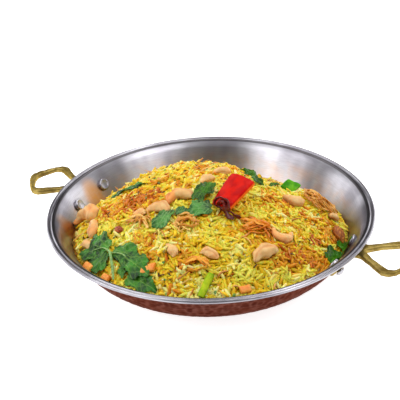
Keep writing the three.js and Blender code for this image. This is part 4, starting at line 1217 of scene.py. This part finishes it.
def scattered(name, count, lift, seed, slot, finish, shape):
    """Bits strewn over the heap wherever no topping is near, each with a shape of its own."""
    rng = np.random.default_rng(seed)
    x, y, _ = strewn(count, rng, 0.97)
    ups = heap_up(x, y)
    spots = np.stack([x, y, heap_height(x, y)], 1) + ups * rng.uniform(*lift, count)[:, None]
    clear = [not topping_within(spot, 2.0) for spot in spots]
    turns = [rng.random() * 360 for _ in spots[clear]]
    rng, parts = np.random.default_rng(seed + 10), []
    for spot, up, turn in zip(spots[clear], ups[clear], turns):
        points, faces = shape(rng)
        points = settle(turned_by(points, "Y", rng.normal(0, 18)), Vector(up), turn) + spot
        parts.append((points, faces, {"tone": rng.random()}))
    points, faces, values = joined(parts)
    print(name, len(parts), "bits,", triangles(faces), "triangles")
    piece(name, slot, "rice", finish, points, faces, values)


def thread_shape(rng):
    length = rng.uniform(7, 17)
    share = np.linspace(-0.5, 0.5, 12)
    curve = rng.normal(0, 2.6)
    line = np.stack([share * length, curve * (share**2 * 4 - 1) * 0.6 + rng.normal(0, 0.9) * share,
                     0.9 * (1 - 4 * share**2)], 1)
    return ribbon(line, rng.uniform(0.7, 1.6), rng.uniform(0.5, 0.7), 6, rng.normal(0, 1.5))


scattered("cumin_seeds", 140, (1.2, 2.3), 81, "almond", CUMIN,
          lambda rng: seed_shape(rng.uniform(3.4, 5), rng.uniform(0.8, 1.15)))
scattered("crumbs_and_gap_shade", 170, (1.5, 2.4), 82, "almond", CRUMBS_AND_SHADE,
          lambda rng: seed_shape(rng.uniform(0.9, 1.8), rng.uniform(0.8, 1.3)))
scattered("herb_flecks", 60, (1.6, 2.6), 83, "herb", CHOPPED,
          lambda rng: fleck_shape(rng.uniform(1.4, 4.2), rng))
scattered("onion_threads", 90, (1.0, 2.2), 84, "fried_onion", THREAD, thread_shape)

# %% [markdown]
# ## The studio
# The pan stands on a plain pale floor that runs out of sight, under three soft lamps. A dark card
# behind the camera, a grey one behind the pan and two pale ones at its sides show in the steel and
# give it its greys and its highlights. The camera itself doesn't see the cards.

# %% floor, cards, lamps and camera
def card(name, foot, half, rise, colour, glow=0.0):
    """A flat card: the middle of its lower edge, half of that edge, and the way up it."""
    foot, half, rise = Vector(foot), Vector(half), Vector(rise)
    mesh = bpy.data.meshes.new(name)
    corners = [foot - half, foot + half, foot + half + rise, foot - half + rise]
    mesh.from_pydata(corners, [], [[0, 1, 2, 3]])
    mesh.materials.append(Finish(name, roughness=0.9, specular_ior_level=0.0, base_color=colour,
                                 emission_color=colour, emission_strength=glow).material)
    obj = bpy.data.objects.new(name, mesh)
    scene.collection.objects.link(obj)
    obj.visible_camera = name == "floor"


def lamp(name, spot, size, power):
    light = bpy.data.lights.new(name, "AREA")
    light.shape, light.size, light.size_y = "RECTANGLE", *size
    light.energy = power
    obj = bpy.data.objects.new(name, light)
    scene.collection.objects.link(obj)
    obj.location = spot
    obj.rotation_euler = (AIM - spot).to_track_quat("-Z", "Y").to_euler()


AIM = Vector((-14.69, 9.26, 46)) * MM
azimuth, elevation, away = math.radians(28.444), math.radians(29.449), 0.96517
back = Vector((math.sin(azimuth) * math.cos(elevation), -math.cos(azimuth) * math.cos(elevation),
               math.sin(elevation)))
right = Vector((math.cos(azimuth), math.sin(azimuth), 0))
front = Vector((back.x, back.y, 0)).normalized()
up = Vector((0, 0, 1))

data = bpy.data.cameras.new("camera")
data.lens, data.sensor_width = 100.07, 36
data.clip_start, data.clip_end = 0.05, 50
camera = bpy.data.objects.new("camera", data)
scene.collection.objects.link(camera)
camera.rotation_mode = "QUATERNION"
level = (-back).to_track_quat("-Z", "Y")
camera.rotation_quaternion = level @ Quaternion((0, 0, 1), math.radians(-2.381))
camera.location = AIM + back * away
scene.camera = camera

scene.view_settings.view_transform = "Standard"
world = bpy.data.worlds.new("studio")
scene.world = world
world.use_nodes = True
sky = world.node_tree.nodes["Background"].inputs
sky["Color"].default_value, sky["Strength"].default_value = (1, 1, 1, 1), 0.62

PALE = (0.9, 0.9, 0.9, 1)
card("floor", (0, -6, -0.0002), (6, 0, 0), (0, 12, 0), PALE, 0.95)
card("dark_card", AIM + back * 1.6 - up * 0.9, right * 1.3, up * 1.8, (0.03, 0.03, 0.035, 1))
card("grey_card", AIM - front * 1.3, right * -0.65, up * 1.2, (0.08, 0.078, 0.083, 1))
for name, out in (("left_card", -right), ("right_card", right)):
    foot = AIM - front * 0.95 + out * 1.25 - up * 0.04
    card(name, foot, (front + out) * 0.45, up * 0.94, PALE, 0.95)
lamp("key", AIM - right * 0.95 + up * 0.95 + front * 0.35, (1.05, 0.9), 7.8)
lamp("fill", AIM + right * 0.72 + up * 1.2 + front * 0.42, (0.75, 0.75), 8)
lamp("top", AIM + up * 1.2 - front * 0.8, (1.2, 0.5), 6.5)
